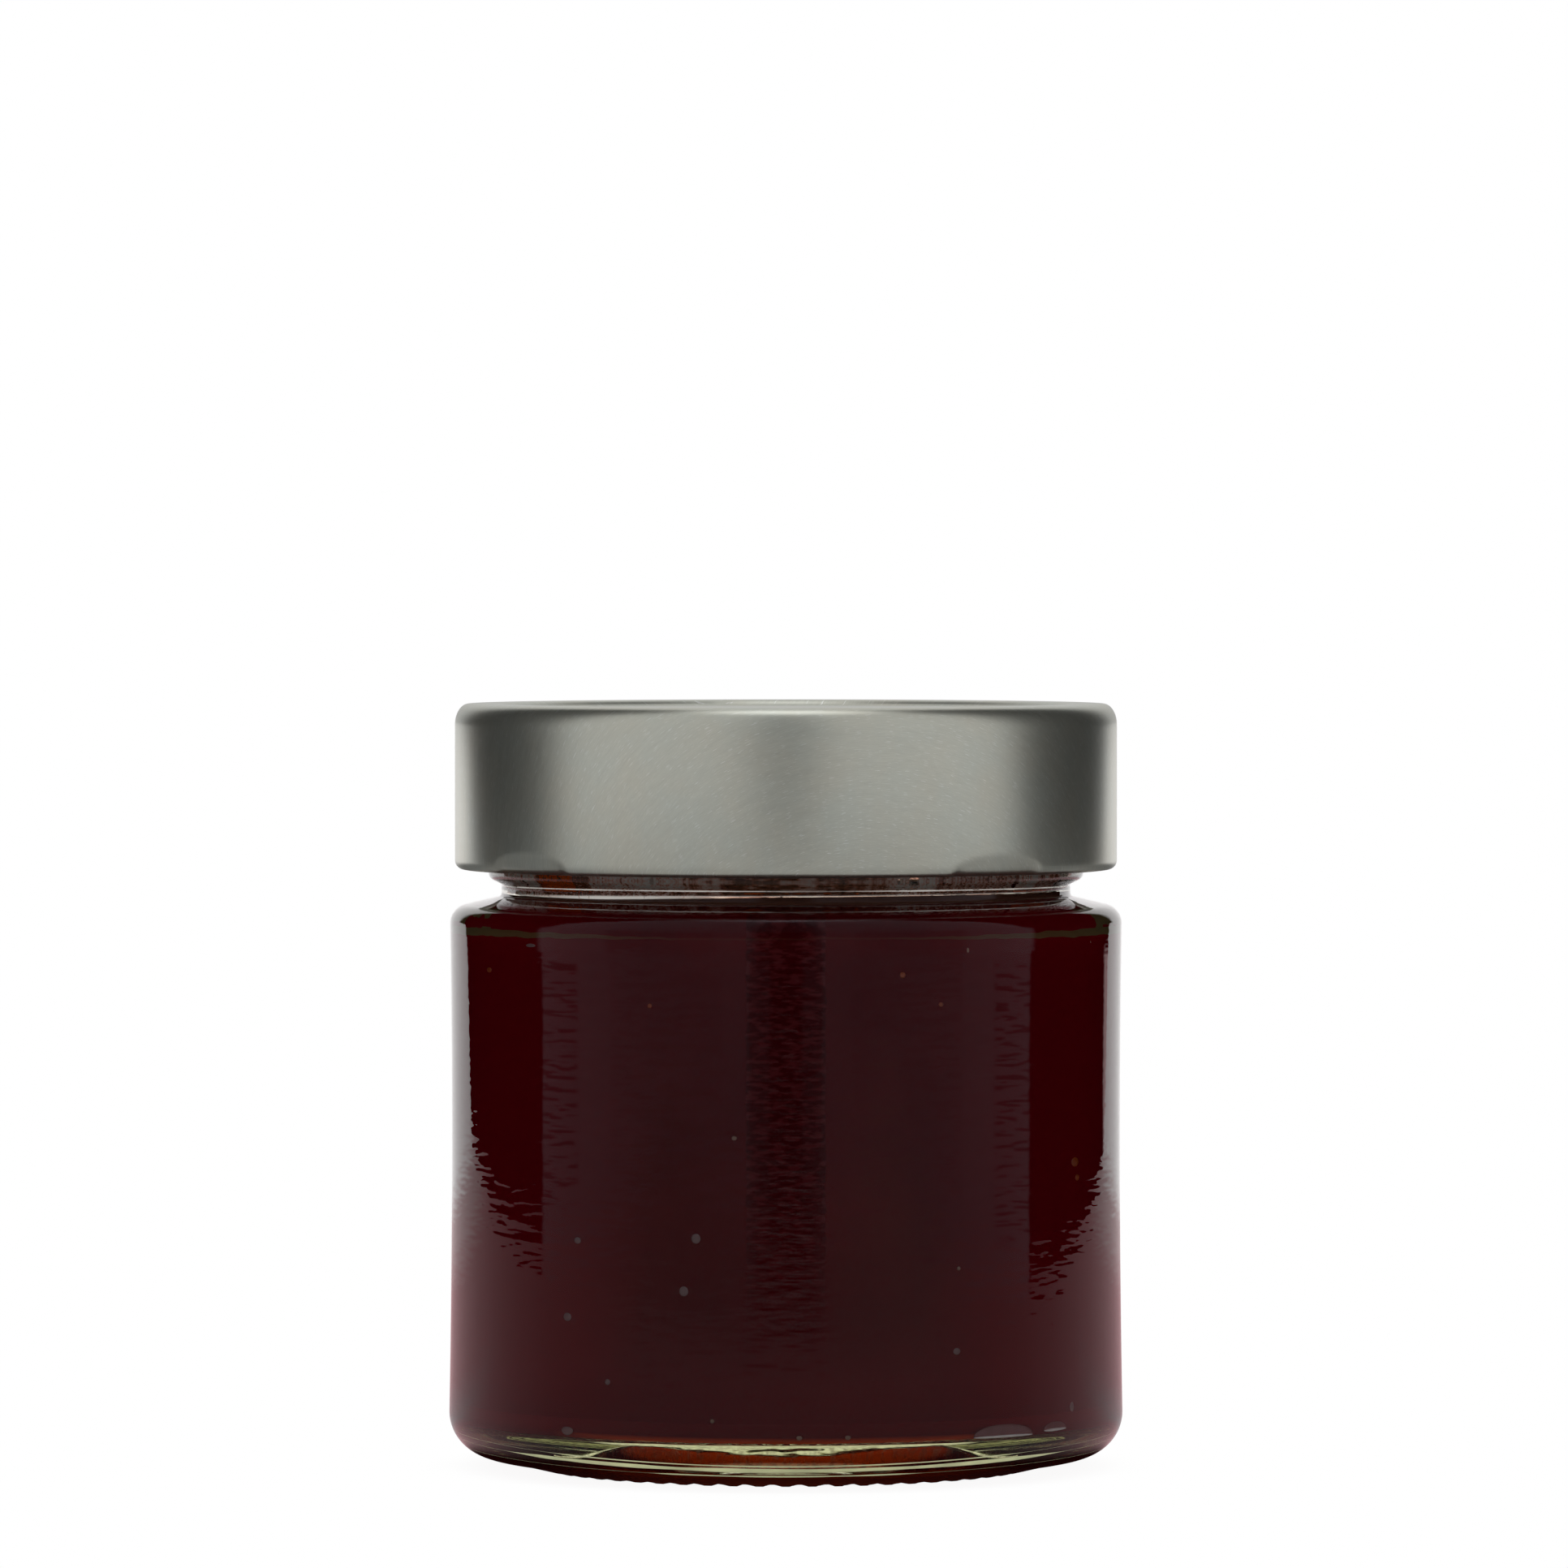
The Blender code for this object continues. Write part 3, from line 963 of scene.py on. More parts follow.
    def build(self, finish: GlassFinish) -> Thing:
        """Builds the glass as one closed surface and dresses it.

        Args:
            finish: the glass's finish.

        Returns:
            The new object.
        """
        inner = self.inner_profile()
        rim_z = self.rim_z - self.rim_round
        rise = line((self.bore_r, inner[-1, 1]), (self.bore_r, rim_z), 4)
        lip = arc((self.bore_r + self.rim_round, rim_z), self.rim_round, 180, 90, 5)
        profile = joined(inner, rise, lip, self.outer_profile())
        radius, azimuth, height = turned_grid(profile, self.columns)
        outside = radius > self.finish_r - 0.05 * MM
        on_finish = outside & (height > self.neck_top_z + 1.0 * MM)
        radius = radius + np.where(on_finish, self.threads(azimuth, height), 0.0)
        below = height < self.knurl_depth + 0.1 * MM
        on_ring = below & (radius > self.knurl_inner_r)
        height = np.where(on_ring, np.maximum(height, self.knurl(azimuth)), height)
        made = closed_turning("jar_glass", radius, azimuth, height)
        return dressed(made, finish.build())


@dataclass
class JamFill:
    """The jam: it wets the glass, so its sides reach a little into the wall."""

    jar: GlassJar
    top_z: float
    reach: float = 0.06 * MM
    meniscus: float = 0.35 * MM
    front_lift: float = 0.45 * MM
    right_lift: float = 0.25 * MM
    sink: float = 0.25 * MM
    top_gap: float = 1.2 * MM
    climb_width: float = 1.5 * MM
    ripple: float = 0.02 * MM
    dip: float = 0.20 * MM
    dip_azimuth: float = math.radians(-42.0)
    dip_half: float = 0.42
    columns: int = 720

    def level(self, azimuth: Array | float) -> Array | float:
        """Height where the jam meets the bore: a tilted plane with one dip, all within a millimetre.

        Args:
            azimuth: azimuths in radians.

        Returns:
            Heights in metres.
        """
        tilt = self.front_lift * np.cos(azimuth) + self.right_lift * np.sin(azimuth)
        off = wrapped(azimuth - self.dip_azimuth)
        return self.top_z - self.sink + tilt - self.dip * np.exp(-((off / self.dip_half) ** 2))

    def build(self, finish: JamFinish) -> Thing:
        """Builds the jam from its uneven top down inside the glass.

        Args:
            finish: the jam's finish.

        Returns:
            The new object.
        """
        side = self.jar.inner_profile(self.reach)
        side = side[side[:, 1] < self.top_z - self.top_gap]
        edge_r = self.jar.bore_r + self.reach
        climb_r = edge_r - self.climb_width
        top = line((POLE_R, self.top_z), (climb_r, self.top_z), 16)
        climb = line((climb_r, self.top_z), (edge_r, self.top_z), 10)
        profile = joined(top, climb, side[::-1])
        radius, azimuth, height = turned_grid(profile, self.columns)
        on_top = height > self.top_z - 0.05 * MM
        share = radius / edge_r
        surface = self.top_z + (self.level(azimuth) - self.top_z) * share - self.meniscus
        climbed = smooth(radius, climb_r, edge_r) ** 2
        surface = surface + self.meniscus * climbed
        surface = surface + self.ripple * wave_noise(azimuth, radius, 5, 9.0) * share
        height = np.where(on_top, surface, height)
        made = closed_turning("jam_fill", radius, azimuth, height)
        return dressed(made, finish.build())


@dataclass(frozen=True)
class Smear:
    """One smear: azimuth and half-width in degrees, height and half-height in mm, added depth and pulp."""

    azimuth: float
    z: float
    wide: float
    tall: float
    depth: float
    pulp: float = 0.0
    soft: float = 0.6


@dataclass
class NeckFilm:
    """Jam smeared on the bore above the filling, and the wet beads on it."""

    jar: GlassJar
    fill: JamFill
    top_z: float
    reach: float = 0.03 * MM
    thickness: float = 0.35 * MM
    strip: float = 0.16 * MM
    fine_low_z: float = 63.75 * MM
    fine_high_z: float = 64.40 * MM
    # Where the two painted highlight lines lie: behind the bead's lower lip, and above the jam's edge.
    lip_z: float = 64.08 * MM
    lip_half: float = 0.18 * MM
    edge_half: float = 0.10 * MM
    beads: int = 120
    smears: tuple[Smear, ...] = ()
    columns: int = 960

    def build_film(self, finish: FilmFinish) -> Thing:
        """Builds the film: a thin closed band from the jam's edge up, outer face just in the wall.

        Args:
            finish: the film's finish, whose maps are written to the mesh.

        Returns:
            The new object.
        """
        outer = np.concatenate([np.linspace(3, 2, 16), np.linspace(2, 1, 25)[1:], np.linspace(1, 0, 14)[1:]])
        profile = np.concatenate([outer, np.linspace(0, 3, 16), [3.0]])
        inner = np.concatenate([np.zeros(len(outer)), np.ones(16), [0.0]])
        turn = np.arange(self.columns) * math.tau / self.columns
        azimuth = np.broadcast_to(turn, (len(profile), self.columns))
        low = self.fill.level(azimuth[0]) - 0.15 * MM
        level = np.ones(self.columns)
        knots = np.stack([low, self.fine_low_z * level, self.fine_high_z * level, self.top_z * level])
        step = np.minimum(profile.astype(int), 2)
        height = knots[step] + (knots[step + 1] - knots[step]) * (profile - step)[:, None]
        lumps = np.clip(wave_noise(azimuth, height, 11, 24.0), -0.6, 1.0)
        radius = self.jar.bore_r + self.reach - inner[:, None] * self.thickness * (1 + 0.4 * lumps)
        made = piece("neck_film", place(radius, azimuth, height), grid_faces(len(profile), self.columns))
        depth, pulp = self.coat(azimuth, height)
        names = (finish.depth_map, finish.pulp_map, finish.gleam_map)
        for name, values in zip(names, (depth, pulp, self.gleams(azimuth, height))):
            layer = made.data.attributes.new(name, "FLOAT", "POINT")
            layer.data.foreach_set("value", values.ravel())
        return dressed(made, finish.build())

    def coat(self, azimuth: Array, height: Array) -> tuple[Array, Array]:
        """Depth and pulp of the film: uneven noise, the listed smears, and a clear strip at the jam.

        Args:
            azimuth: azimuths in radians.
            height: heights in metres.

        Returns:
            Two arrays of values between 0 and 1.
        """
        noise = wave_noise(azimuth, height, 17, 16.0, 4)
        depth, pulp = 0.30 + 0.20 * noise, 0.10 + 0.10 * noise
        for smear in self.smears:
            off = np.degrees(wrapped(azimuth - math.radians(smear.azimuth)))
            away = np.maximum(np.abs(off) / smear.wide, np.abs(height / MM - smear.z) / smear.tall)
            weight = 1 - smooth(away + 0.12 * noise, 1 - smear.soft / 2, 1 + smear.soft / 2)
            depth, pulp = depth + smear.depth * weight, pulp + smear.pulp * weight
        above = height - self.fill.level(azimuth)
        strip = self.strip * (1 + 0.6 * wave_noise(azimuth, azimuth * 0, 29, 9.0))
        wet = smooth(above, strip, strip + 0.10 * MM)
        return np.clip(depth, 0, 1) * wet, np.clip(pulp, 0, 1) * wet

    def gleams(self, azimuth: Array, height: Array) -> Array:
        """Share of painted highlight: a line behind the bead's lower lip, and one where the jam meets the
        bore.

        Args:
            azimuth: azimuths in radians.
            height: heights in metres.

        Returns:
            Values between 0 and 1.
        """
        noise = wave_noise(azimuth, azimuth * 0, 41, 12.0)
        lip = np.abs(height - self.lip_z) / (self.lip_half * (1 + 0.5 * noise))
        turned = np.degrees(wrapped(azimuth))
        left = np.exp(-(((turned + 40.0) / 20.0) ** 2))
        above = height - self.fill.level(azimuth)
        edge = np.abs(above - 0.22 * MM) / (self.edge_half * (0.8 + 1.3 * left + 0.4 * noise))
        lip_share = 1 - 0.70 * np.exp(-(((turned - 6.0) / 13.0) ** 2))
        edge_share = 0.30 + 0.70 * left
        return np.maximum(lip_share * (1 - smooth(lip, 0.6, 1.2)), edge_share * (1 - smooth(edge, 0.6, 1.2)))

    def build_beads(self, finish: WetFinish) -> Thing:
        """Builds the beads: flattened drops with seeded places.

        Args:
            finish: the beads' finish.

        Returns:
            The new object.
        """
        random = np.random.default_rng(21)
        azimuth = random.uniform(-math.pi, math.pi, self.beads)
        low = self.fill.level(azimuth)
        height = low + (self.top_z - low) * random.uniform(0.05, 0.95, self.beads) ** 1.6
        size = random.uniform(0.08, 0.30, self.beads) * MM
        centres = place(np.full(self.beads, self.jar.bore_r - 0.02 * MM), azimuth, height)
        frames = wall_frames(azimuth, random.uniform(0, math.pi, self.beads))
        sizes = np.stack([size * 0.6, size * random.uniform(0.8, 1.9, self.beads), size], axis=1)
        made = blobs("neck_beads", centres, frames, sizes, 5, 10)
        return dressed(made, finish.build())


@dataclass(frozen=True)
class Gleam:
    """One painted line of light in the heel: heights and half-thickness in mm, and half-width in degrees."""

    z_front: float
    z_side: float
    half: float
    reach: float


@dataclass
class HeelGleams:
    """Painted light: lines of light in the thick glass of the heel, made as thin pale rings that glow, just
    under its skin.
    """

    jar: GlassJar
    gleams: tuple[Gleam, ...]
    depth: float = 0.15 * MM
    half_depth: float = 0.03 * MM
    least_half: float = 0.004 * MM
    heel_z: Pair = (0.2 * MM, 8.0 * MM)
    heel_r: float = 28.0 * MM
    columns: int = 480

    def build(self, finish: GleamFinish) -> Thing:
        """Builds every ring as a closed tube of flat section, tapered where its line fades out.

        Args:
            finish: the lines' finish.

        Returns:
            The new object.
        """
        azimuth = np.arange(self.columns) * math.tau / self.columns
        turn = np.arange(8) * math.tau / 8
        profile = self.jar.outer_profile()
        radii, heights = profile.T
        heel = (heights > self.heel_z[0]) & (heights < self.heel_z[1]) & (radii > self.heel_r)
        side = profile[heel][::-1]
        points, faces = [], []
        for number, gleam in enumerate(self.gleams):
            height = (gleam.z_front + (gleam.z_side - gleam.z_front) * np.sin(azimuth) ** 2) * MM
            ends = np.arccos(np.abs(np.cos(azimuth))) / math.radians(gleam.reach)
            wander = 1 + 0.35 * wave_noise(azimuth, azimuth * 0, 50 + number, 14.0)
            half = gleam.half * MM * np.clip(wander, 0.3, 2) * (1 - smooth(ends, 0.75, 1.0))
            half = half + self.least_half
            rows = height + half * np.sin(turn)[:, None]
            radius = np.interp(rows, side[:, 1], side[:, 0]) - self.depth
            radius = radius + self.half_depth * np.cos(turn)[:, None]
            ring = place(radius, np.broadcast_to(azimuth, rows.shape), rows)
            quads = grid_faces(len(turn) + 1, self.columns)[:, ::-1] % len(ring)
            faces.append(quads + len(ring) * number)
            points.append(ring)
        made = piece("painted_heel_lights", np.concatenate(points), np.concatenate(faces))
        return dressed(made, finish.build())


@dataclass(frozen=True)
class WallSpot:
    """One bubble or speck at the glass: azimuth in degrees, height and half-sizes in millimetres."""

    azimuth: float
    z: float
    wide: float
    tall: float
    spin: float = 0.0


class SpotKind(Enum):
    """What a spot at the glass is."""

    BUBBLE = "air_bubbles"
    SEED = "pale_seeds"
    EMBER = "orange_bits"
    HALF = "half_bubbles"
    # Painted highlight: pale rims laid along the half bubbles' edges, for light caught there.
    RIM_HIGHLIGHT = "painted_rim_highlights"


@dataclass
class WallSpots:
    """Small things caught between the jam and the glass, and the painted highlight rims along the half
    bubbles.
    """

    jar: GlassJar
    kind: SpotKind
    spots: tuple[WallSpot, ...]
    depth: float = 0.12 * MM
    into_wall: float = 0.04 * MM
    highlight_rim_half: float = 0.13 * MM

    def build(self, finish: WetFinish) -> Thing:
        """Builds every spot of this kind as one mesh of flattened ellipsoids on the inner wall.

        Args:
            finish: the spots' finish.

        Returns:
            The new object.
        """
        azimuth = np.radians([spot.azimuth for spot in self.spots])
        height = np.array([spot.z for spot in self.spots]) * MM
        inner = self.jar.inner_profile()
        wall = inner[inner[:, 1].argmin() :]
        top = height + np.array([spot.tall for spot in self.spots]) * MM
        radius = np.interp(top, wall[:, 1], wall[:, 0]) + self.into_wall
        centres = place(radius, azimuth, height)
        frames = wall_frames(azimuth, np.radians([spot.spin for spot in self.spots]))
        sizes = np.array([[self.depth / MM, spot.wide, spot.tall] for spot in self.spots]) * MM
        # A painted highlight rim is a thin strip of the half bubble's width.
        if self.kind is SpotKind.RIM_HIGHLIGHT:
            sizes[:, 2] = self.highlight_rim_half
        made = blobs(self.kind.value, centres, frames, sizes, 11, 24, flat=self.kind is SpotKind.HALF)
        return dressed(made, finish.build())


@dataclass
class TwistCap:
    """The pressed cap: panel, rounded top edge, skirt, curled lower edge and four lugs."""

    radius: float
    bottom_z: float
    top_z: float
    sheet: float = 0.6 * MM
    corner_width: float = 1.5 * MM
    corner_height: float = 2.3 * MM
    curl_width: float = 1.9 * MM
    curl_height: float = 2.0 * MM
    panel_r: float = 30.2 * MM
    panel_drop: float = 0.6 * MM
    panel_step: float = 1.0 * MM
    curl_gap: float = 0.4 * MM
    lugs: int = 4
    first_lug: float = math.radians(-50.6)
    lug_half_angle: float = math.radians(10.6)
    lug_reach: float = 1.1 * MM
    dent_height: float = 2.2 * MM
    dent_depth: float = 0.55 * MM
    grain_azimuth: float = math.radians(15.0)
    columns: int = 720

    def profile(self) -> Array:
        """Closed profile from the panel's middle, over the edge, down the skirt and back inside.

        Returns:
            Array of (radius, height) points.
        """
        ring_r = self.panel_r + self.panel_step
        panel_z = self.top_z - self.panel_drop
        corner = (self.radius - self.corner_width, self.top_z - self.corner_height)
        panel = line((POLE_R, panel_z), (self.panel_r, panel_z), 10)
        step = line((self.panel_r, panel_z), (ring_r, self.top_z), 8)
        step[:, 1] = panel_z + self.panel_drop * smooth(step[:, 0], self.panel_r, ring_r)
        edge = arc(corner, (self.corner_width, self.corner_height), 90, 0, 18)
        curl_r = self.curl_width / 2
        curl_centre = (self.radius - curl_r, self.bottom_z + curl_r)
        skirt = line((self.radius, corner[1]), (self.radius, curl_centre[1]), 44)
        curl = arc(curl_centre, curl_r, 0, -180, 14)
        curl_top = self.bottom_z + self.curl_height
        curl_end = (self.radius - self.curl_width, curl_top - self.curl_gap)
        inside = line(curl_end, (self.radius - self.sheet, curl_top), 2)
        under = arc(corner, (self.corner_width - self.sheet, self.corner_height - self.sheet), 0, 90, 6)
        low_panel = line((ring_r, self.top_z - self.sheet), (self.panel_r, panel_z - self.sheet), 2)
        middle = line((self.panel_r, panel_z - self.sheet), (POLE_R, panel_z - self.sheet), 4)
        return joined(panel, step, edge, skirt, curl, inside, under, low_panel, middle)

    def off_lug(self, azimuth: Array) -> Array:
        """Angle from the nearest lug's middle, as a share of half a lug's width.

        Args:
            azimuth: azimuths in radians.

        Returns:
            Shares, within -1 and 1 on a lug.
        """
        pitch = math.tau / self.lugs
        off = np.mod(azimuth - self.first_lug + pitch / 2, pitch) - pitch / 2
        return off / self.lug_half_angle

    def dent(self, azimuth: Array, height: Array) -> Array:
        """How far a lug pulls the skirt in: deepest at the edge, under an arched upper outline.

        Args:
            azimuth: azimuths in radians.
            height: heights in metres.

        Returns:
            Depths in metres.
        """
        across = self.off_lug(azimuth)
        arch = self.dent_height * np.sqrt(np.clip(1 - across * across, 0, 1))
        depth = 1 - (height - self.bottom_z) / np.maximum(arch, 0.01 * MM)
        return self.dent_depth * np.clip(depth, 0, 1) * smooth(1 - np.abs(across), 0.0, 0.25)

    def build(self, finish: TinplateFinish) -> Thing:
        """Builds the cap as one closed surface with its blank's coordinates as UVs, and dresses it.

        Args:
            finish: the cap's finish.

        Returns:
            The new object.
        """
        profile = self.profile()
        radius, azimuth, height = turned_grid(profile, self.columns)
        near_edge = height < self.bottom_z + self.dent_height
        outside = radius > self.radius - self.curl_width * 0.7
        radius = radius - np.where(near_edge & outside, self.dent(azimuth, height), 0.0)
        lug = (1 - smooth(np.abs(self.off_lug(azimuth)), 0.5, 0.8)) * self.lug_reach
        inside = near_edge & (radius < self.radius - self.curl_width * 0.8)
        radius = radius - np.where(inside, lug, 0.0)
        made = closed_turning("cap_shell", radius, azimuth, height)
        self.unroll(made)
        return dressed(made, finish.build())

    def unroll(self, made: Thing) -> None:
        """UVs in millimetres on the flat blank: distance from the middle is the radius plus the drop.

        Args:
            made: the cap's mesh object.
        """
        count = len(made.data.vertices)
        points = np.empty(count * 3)
        made.data.vertices.foreach_get("co", points)
        points = points.reshape(-1, 3)
        azimuth = np.arctan2(points[:, 0], -points[:, 1])
        reach = np.hypot(points[:, 0], points[:, 1]) + np.clip(self.top_z - points[:, 2], 0, None)
        across = reach * np.cos(azimuth - self.grain_azimuth) / MM
        along = reach * np.sin(azimuth - self.grain_azimuth) / MM
        loops = np.empty(len(made.data.loops), np.int32)
        made.data.loops.foreach_get("vertex_index", loops)
        layer = made.data.uv_layers.new(name="blank")
        layer.data.foreach_set("uv", np.stack([across[loops], along[loops]], axis=1).ravel())


# --- studio -------------------------------------------------------------------------------------

WHITE = (1.0, 1.0, 1.0)
BACK = (1.05, 1.03, 1.03)
PINK = (0.76, 0.53, 0.53)
COOL = (1.0, 0.95, 1.06)

# Light by elevation: each band takes over from the one before between two elevations in degrees, and
# gives brightness or colour against azimuth from the camera in degrees.
SIDE = ((92.5, 0.0), (141.0, 0.0), (142.5, PINK), (156.0, PINK), (163.0, (0.92, 0.76, 0.77)), (172.0, BACK))
STRIPE = ((6.0, 0.17), (13.0, 0.19), (14.2, 0.44))
LOW_BOX = ((21.5, 0.44), (22.5, 0.34), (62.0, 0.36), (63.0, 0.52), (75.5, 0.54), (76.5, 0.15), (91.5, 0.17))
LEVEL_BOX = ((62.0, 0.48), (75.5, 0.50), (76.5, 0.16), (91.5, 0.18))
TALL_BOX = ((13.0, 0.42), (23.0, 0.42), (25.0, 0.34), (62.0, 0.34), (66.0, 0.52), (92.0, 0.54), (95.0, 0.0))
HIGH_BOX = ((16.0, 0.55), (88.0, 0.60), (92.0, 0.0))
BANDS = (
    (-90.0, -90.0, ((0.0, 0.0), (5.2, 0.0), *STRIPE, *LOW_BOX, *SIDE)),
    (-3.62, -3.58, ((0.0, 0.0), (5.2, 0.02), *STRIPE, *LEVEL_BOX, *SIDE)),
    (-3.55, -3.51, ((0.0, 0.02), (5.0, 0.04), *STRIPE, (62.0, 0.46), (91.5, 0.44), *SIDE)),
    (-2.5, -2.0, ((0.0, 0.02), (9.0, 0.04), *TALL_BOX, (150.0, 0.0), (153.0, BACK))),
    (6.0, 18.0, ((0.0, 0.10), (10.0, 0.22), *HIGH_BOX, (152.0, 0.0), (156.0, BACK))),
    (70.0, 84.0, ((0.0, 1.50), (90.0, 1.40), (180.0, 1.20))),
)
# The same light as rough surfaces get it, below a ceiling that sets in between two elevations.
LID = ((0.0, 0.19), (8.0, 0.26), (16.0, 0.50), (80.0, 0.54), (92.0, 0.05), (146.0, 0.03), (156.0, 0.62))
CEILING = (69.0, 82.0)


@dataclass
class Studio:
    """A pale paper sweep, soft light from the sides and behind, and the camera."""

    distance: float = 1.130
    height: float = 0.0982
    pitch: float = math.radians(1.2104)
    focal_pixels: float = 12780.0
    frame_pixels: int = 1932
    axis_offset: float = -0.21 * MM
    paper_left: float = 0.48
    paper_right: float = 0.42
    paper_back: float = 0.60
    paper_front: float = 0.60
    paper_bend: float = 0.12
    contact_reach: float = 0.012
    contact_shade: Triple = (0.94, 0.93, 0.93)
    jar_shade_r: float = 34 * MM
    jar_shade_width: float = 36 * MM
    base_patch_r: Pair = (15 * MM, 17 * MM)
    sensor: float = 36.0

    def build_camera(self) -> None:
        """Makes the camera, level in roll and pitched slightly down."""
        data = bpy.data.cameras.new("camera")
        data.sensor_width = self.sensor
        data.lens = self.focal_pixels * self.sensor / self.frame_pixels
        data.clip_start = 0.01
        camera = bpy.data.objects.new("camera", data)
        camera.location = (self.axis_offset, -self.distance, self.height)
        camera.rotation_euler = (math.pi / 2 - self.pitch, 0.0, 0.0)
        bpy.context.scene.collection.objects.link(camera)
        bpy.context.scene.camera = camera

    def build_paper(self) -> None:
        """Makes the paper: flat in front, curving up behind the jar."""
        bend = self.paper_bend
        flat = line((-self.paper_front, 0.0), (self.paper_back - bend, 0.0), 12)
        curve = arc((self.paper_back - bend, bend), bend, -90, -15, 12)
        profile = joined(flat, curve)
        across = np.linspace(-self.paper_left, self.paper_right, 9)
        y, x = np.meshgrid(profile[:, 0], across, indexing="ij")
        z = np.repeat(profile[:, 1:], len(across), axis=1)
        points = np.stack([x, y, z], axis=-1).reshape(-1, 3)
        made = piece("paper_sweep", points, grid_faces(len(profile), len(across), wrap=False)[:, ::-1])
        dressed(made, self.paper_material())

    def paper_material(self) -> bpy.types.Material:
        """White paper: it shows white with a faint contact shade, and lights the jar as the card says.

        Returns:
            The material.
        """
        sheet = new_sheet("white_paper")
        shade = sheet.add("AmbientOcclusion", {"Distance": self.contact_reach}, "AO", samples=8)
        shown = sheet.glow(sheet.ramp(shade, (0.0, self.contact_shade), (0.6, WHITE)))
        seen = sheet.add("LightPath", output="Is Camera Ray")
        return sheet.finish(sheet.blend(seen, sheet.glow(self.card(sheet)), shown))

    def card(self, sheet: Sheet) -> Wire:
        """Light of the paper by place: grey in front, pink flanks, white back, and shade at the jar.

        Args:
            sheet: the paper's sheet.

        Returns:
            The colour that it gives off.
        """
        spot = sheet.place()
        x, y, _ = sheet.axes(spot)
        along = y.between(-self.paper_front, self.paper_back)
        away = sheet.length(spot)
        far = sheet.mix(x.between(0.05, 0.25), dimmed(WHITE, 0.34), dimmed(WHITE, 0.47))
        far = sheet.mix((abs(x) < 0.11) * (y < -0.40), far, dimmed(WHITE, 0.23))
        front = sheet.mix(away.between(0.36, 0.44), (0.50, 0.49, 0.50), far)
        turned = x / away
        turned = turned * turned
        flank = along.between(0.50, 0.60).peak(turned.between(0.5, 0.9))
        beside = sheet.mix(flank, front, (0.60, 0.37, 0.39))
        sharp = sheet.mix(along.between(0.72, 0.80), beside, (0.70, 0.55, 0.56))
        soft = sheet.mix(flank * along.between(0.44, 0.52), dimmed(WHITE, 0.34), dimmed(WHITE, 0.13))
        lit = sheet.mix(sheet.add("LightPath", output="Is Singular Ray"), soft, sharp)
        lit = sheet.mix(along.between(0.84, 0.92), lit, BACK)
        out = (away - self.jar_shade_r) * (turned * 6.0 + 1.0)
        open_sky = out.between(0.0, self.jar_shade_width, interpolation_type="SMOOTHSTEP")
        lit = sheet.mix(open_sky, (0.010, 0.002, 0.002), lit)
        return sheet.mix(away.between(*self.base_patch_r), (0.48, 0.47, 0.33), lit)

    def build_light(self) -> None:
        """Light by direction: white to the camera, the bands to sharp rays, and softer light to the rest."""
        world = bpy.data.worlds.new("studio")
        bpy.context.scene.world = world
        sheet = Sheet(world)
        x, y, z = sheet.axes(sheet.add("TexCoord", output="Generated"))
        around = abs(sheet.math("ARCTAN2", x, y * -1.0)) / math.pi
        up = sheet.math("ARCSINE", z) / (math.pi / 2)
        sharp = self.band(sheet, around, BANDS[0][2], COOL)
        for start, end, stops in BANDS[1:]:
            sharp = sheet.mix(up.between(start / 90, end / 90), sharp, self.band(sheet, around, stops, COOL))
        ceiling = up.between(CEILING[0] / 90, CEILING[1] / 90)
        soft = sheet.mix(ceiling, self.band(sheet, around, LID), self.band(sheet, around, BANDS[-1][2]))
        light = sheet.mix(sheet.add("LightPath", output="Is Singular Ray"), soft, sharp)
        light = sheet.mix(sheet.add("LightPath", output="Is Camera Ray"), light, WHITE)
        sheet.finish(sheet.add("Background", {"Color": light, "Strength": 1.0}), "World")

    @staticmethod
    def band(sheet: Sheet, around: Wire, stops: tuple[tuple, ...], tint: Triple = WHITE) -> Wire:
        """Light against azimuth from the camera, where a plain brightness takes the tint.

        Args:
            sheet: the world's sheet.
            around: azimuth from the camera as a share of half a turn.
            stops: degrees, and a brightness or colour.
            tint: colour of the plain brightnesses.

        Returns:
            The light.
        """
        colours = (value if isinstance(value, tuple) else dimmed(tint, value) for _, value in stops)
        return sheet.ramp(around, *((angle / 180, colour) for (angle, _), colour in zip(stops, colours)))


# --- smears and specks ---------------------------------------------------------------------------

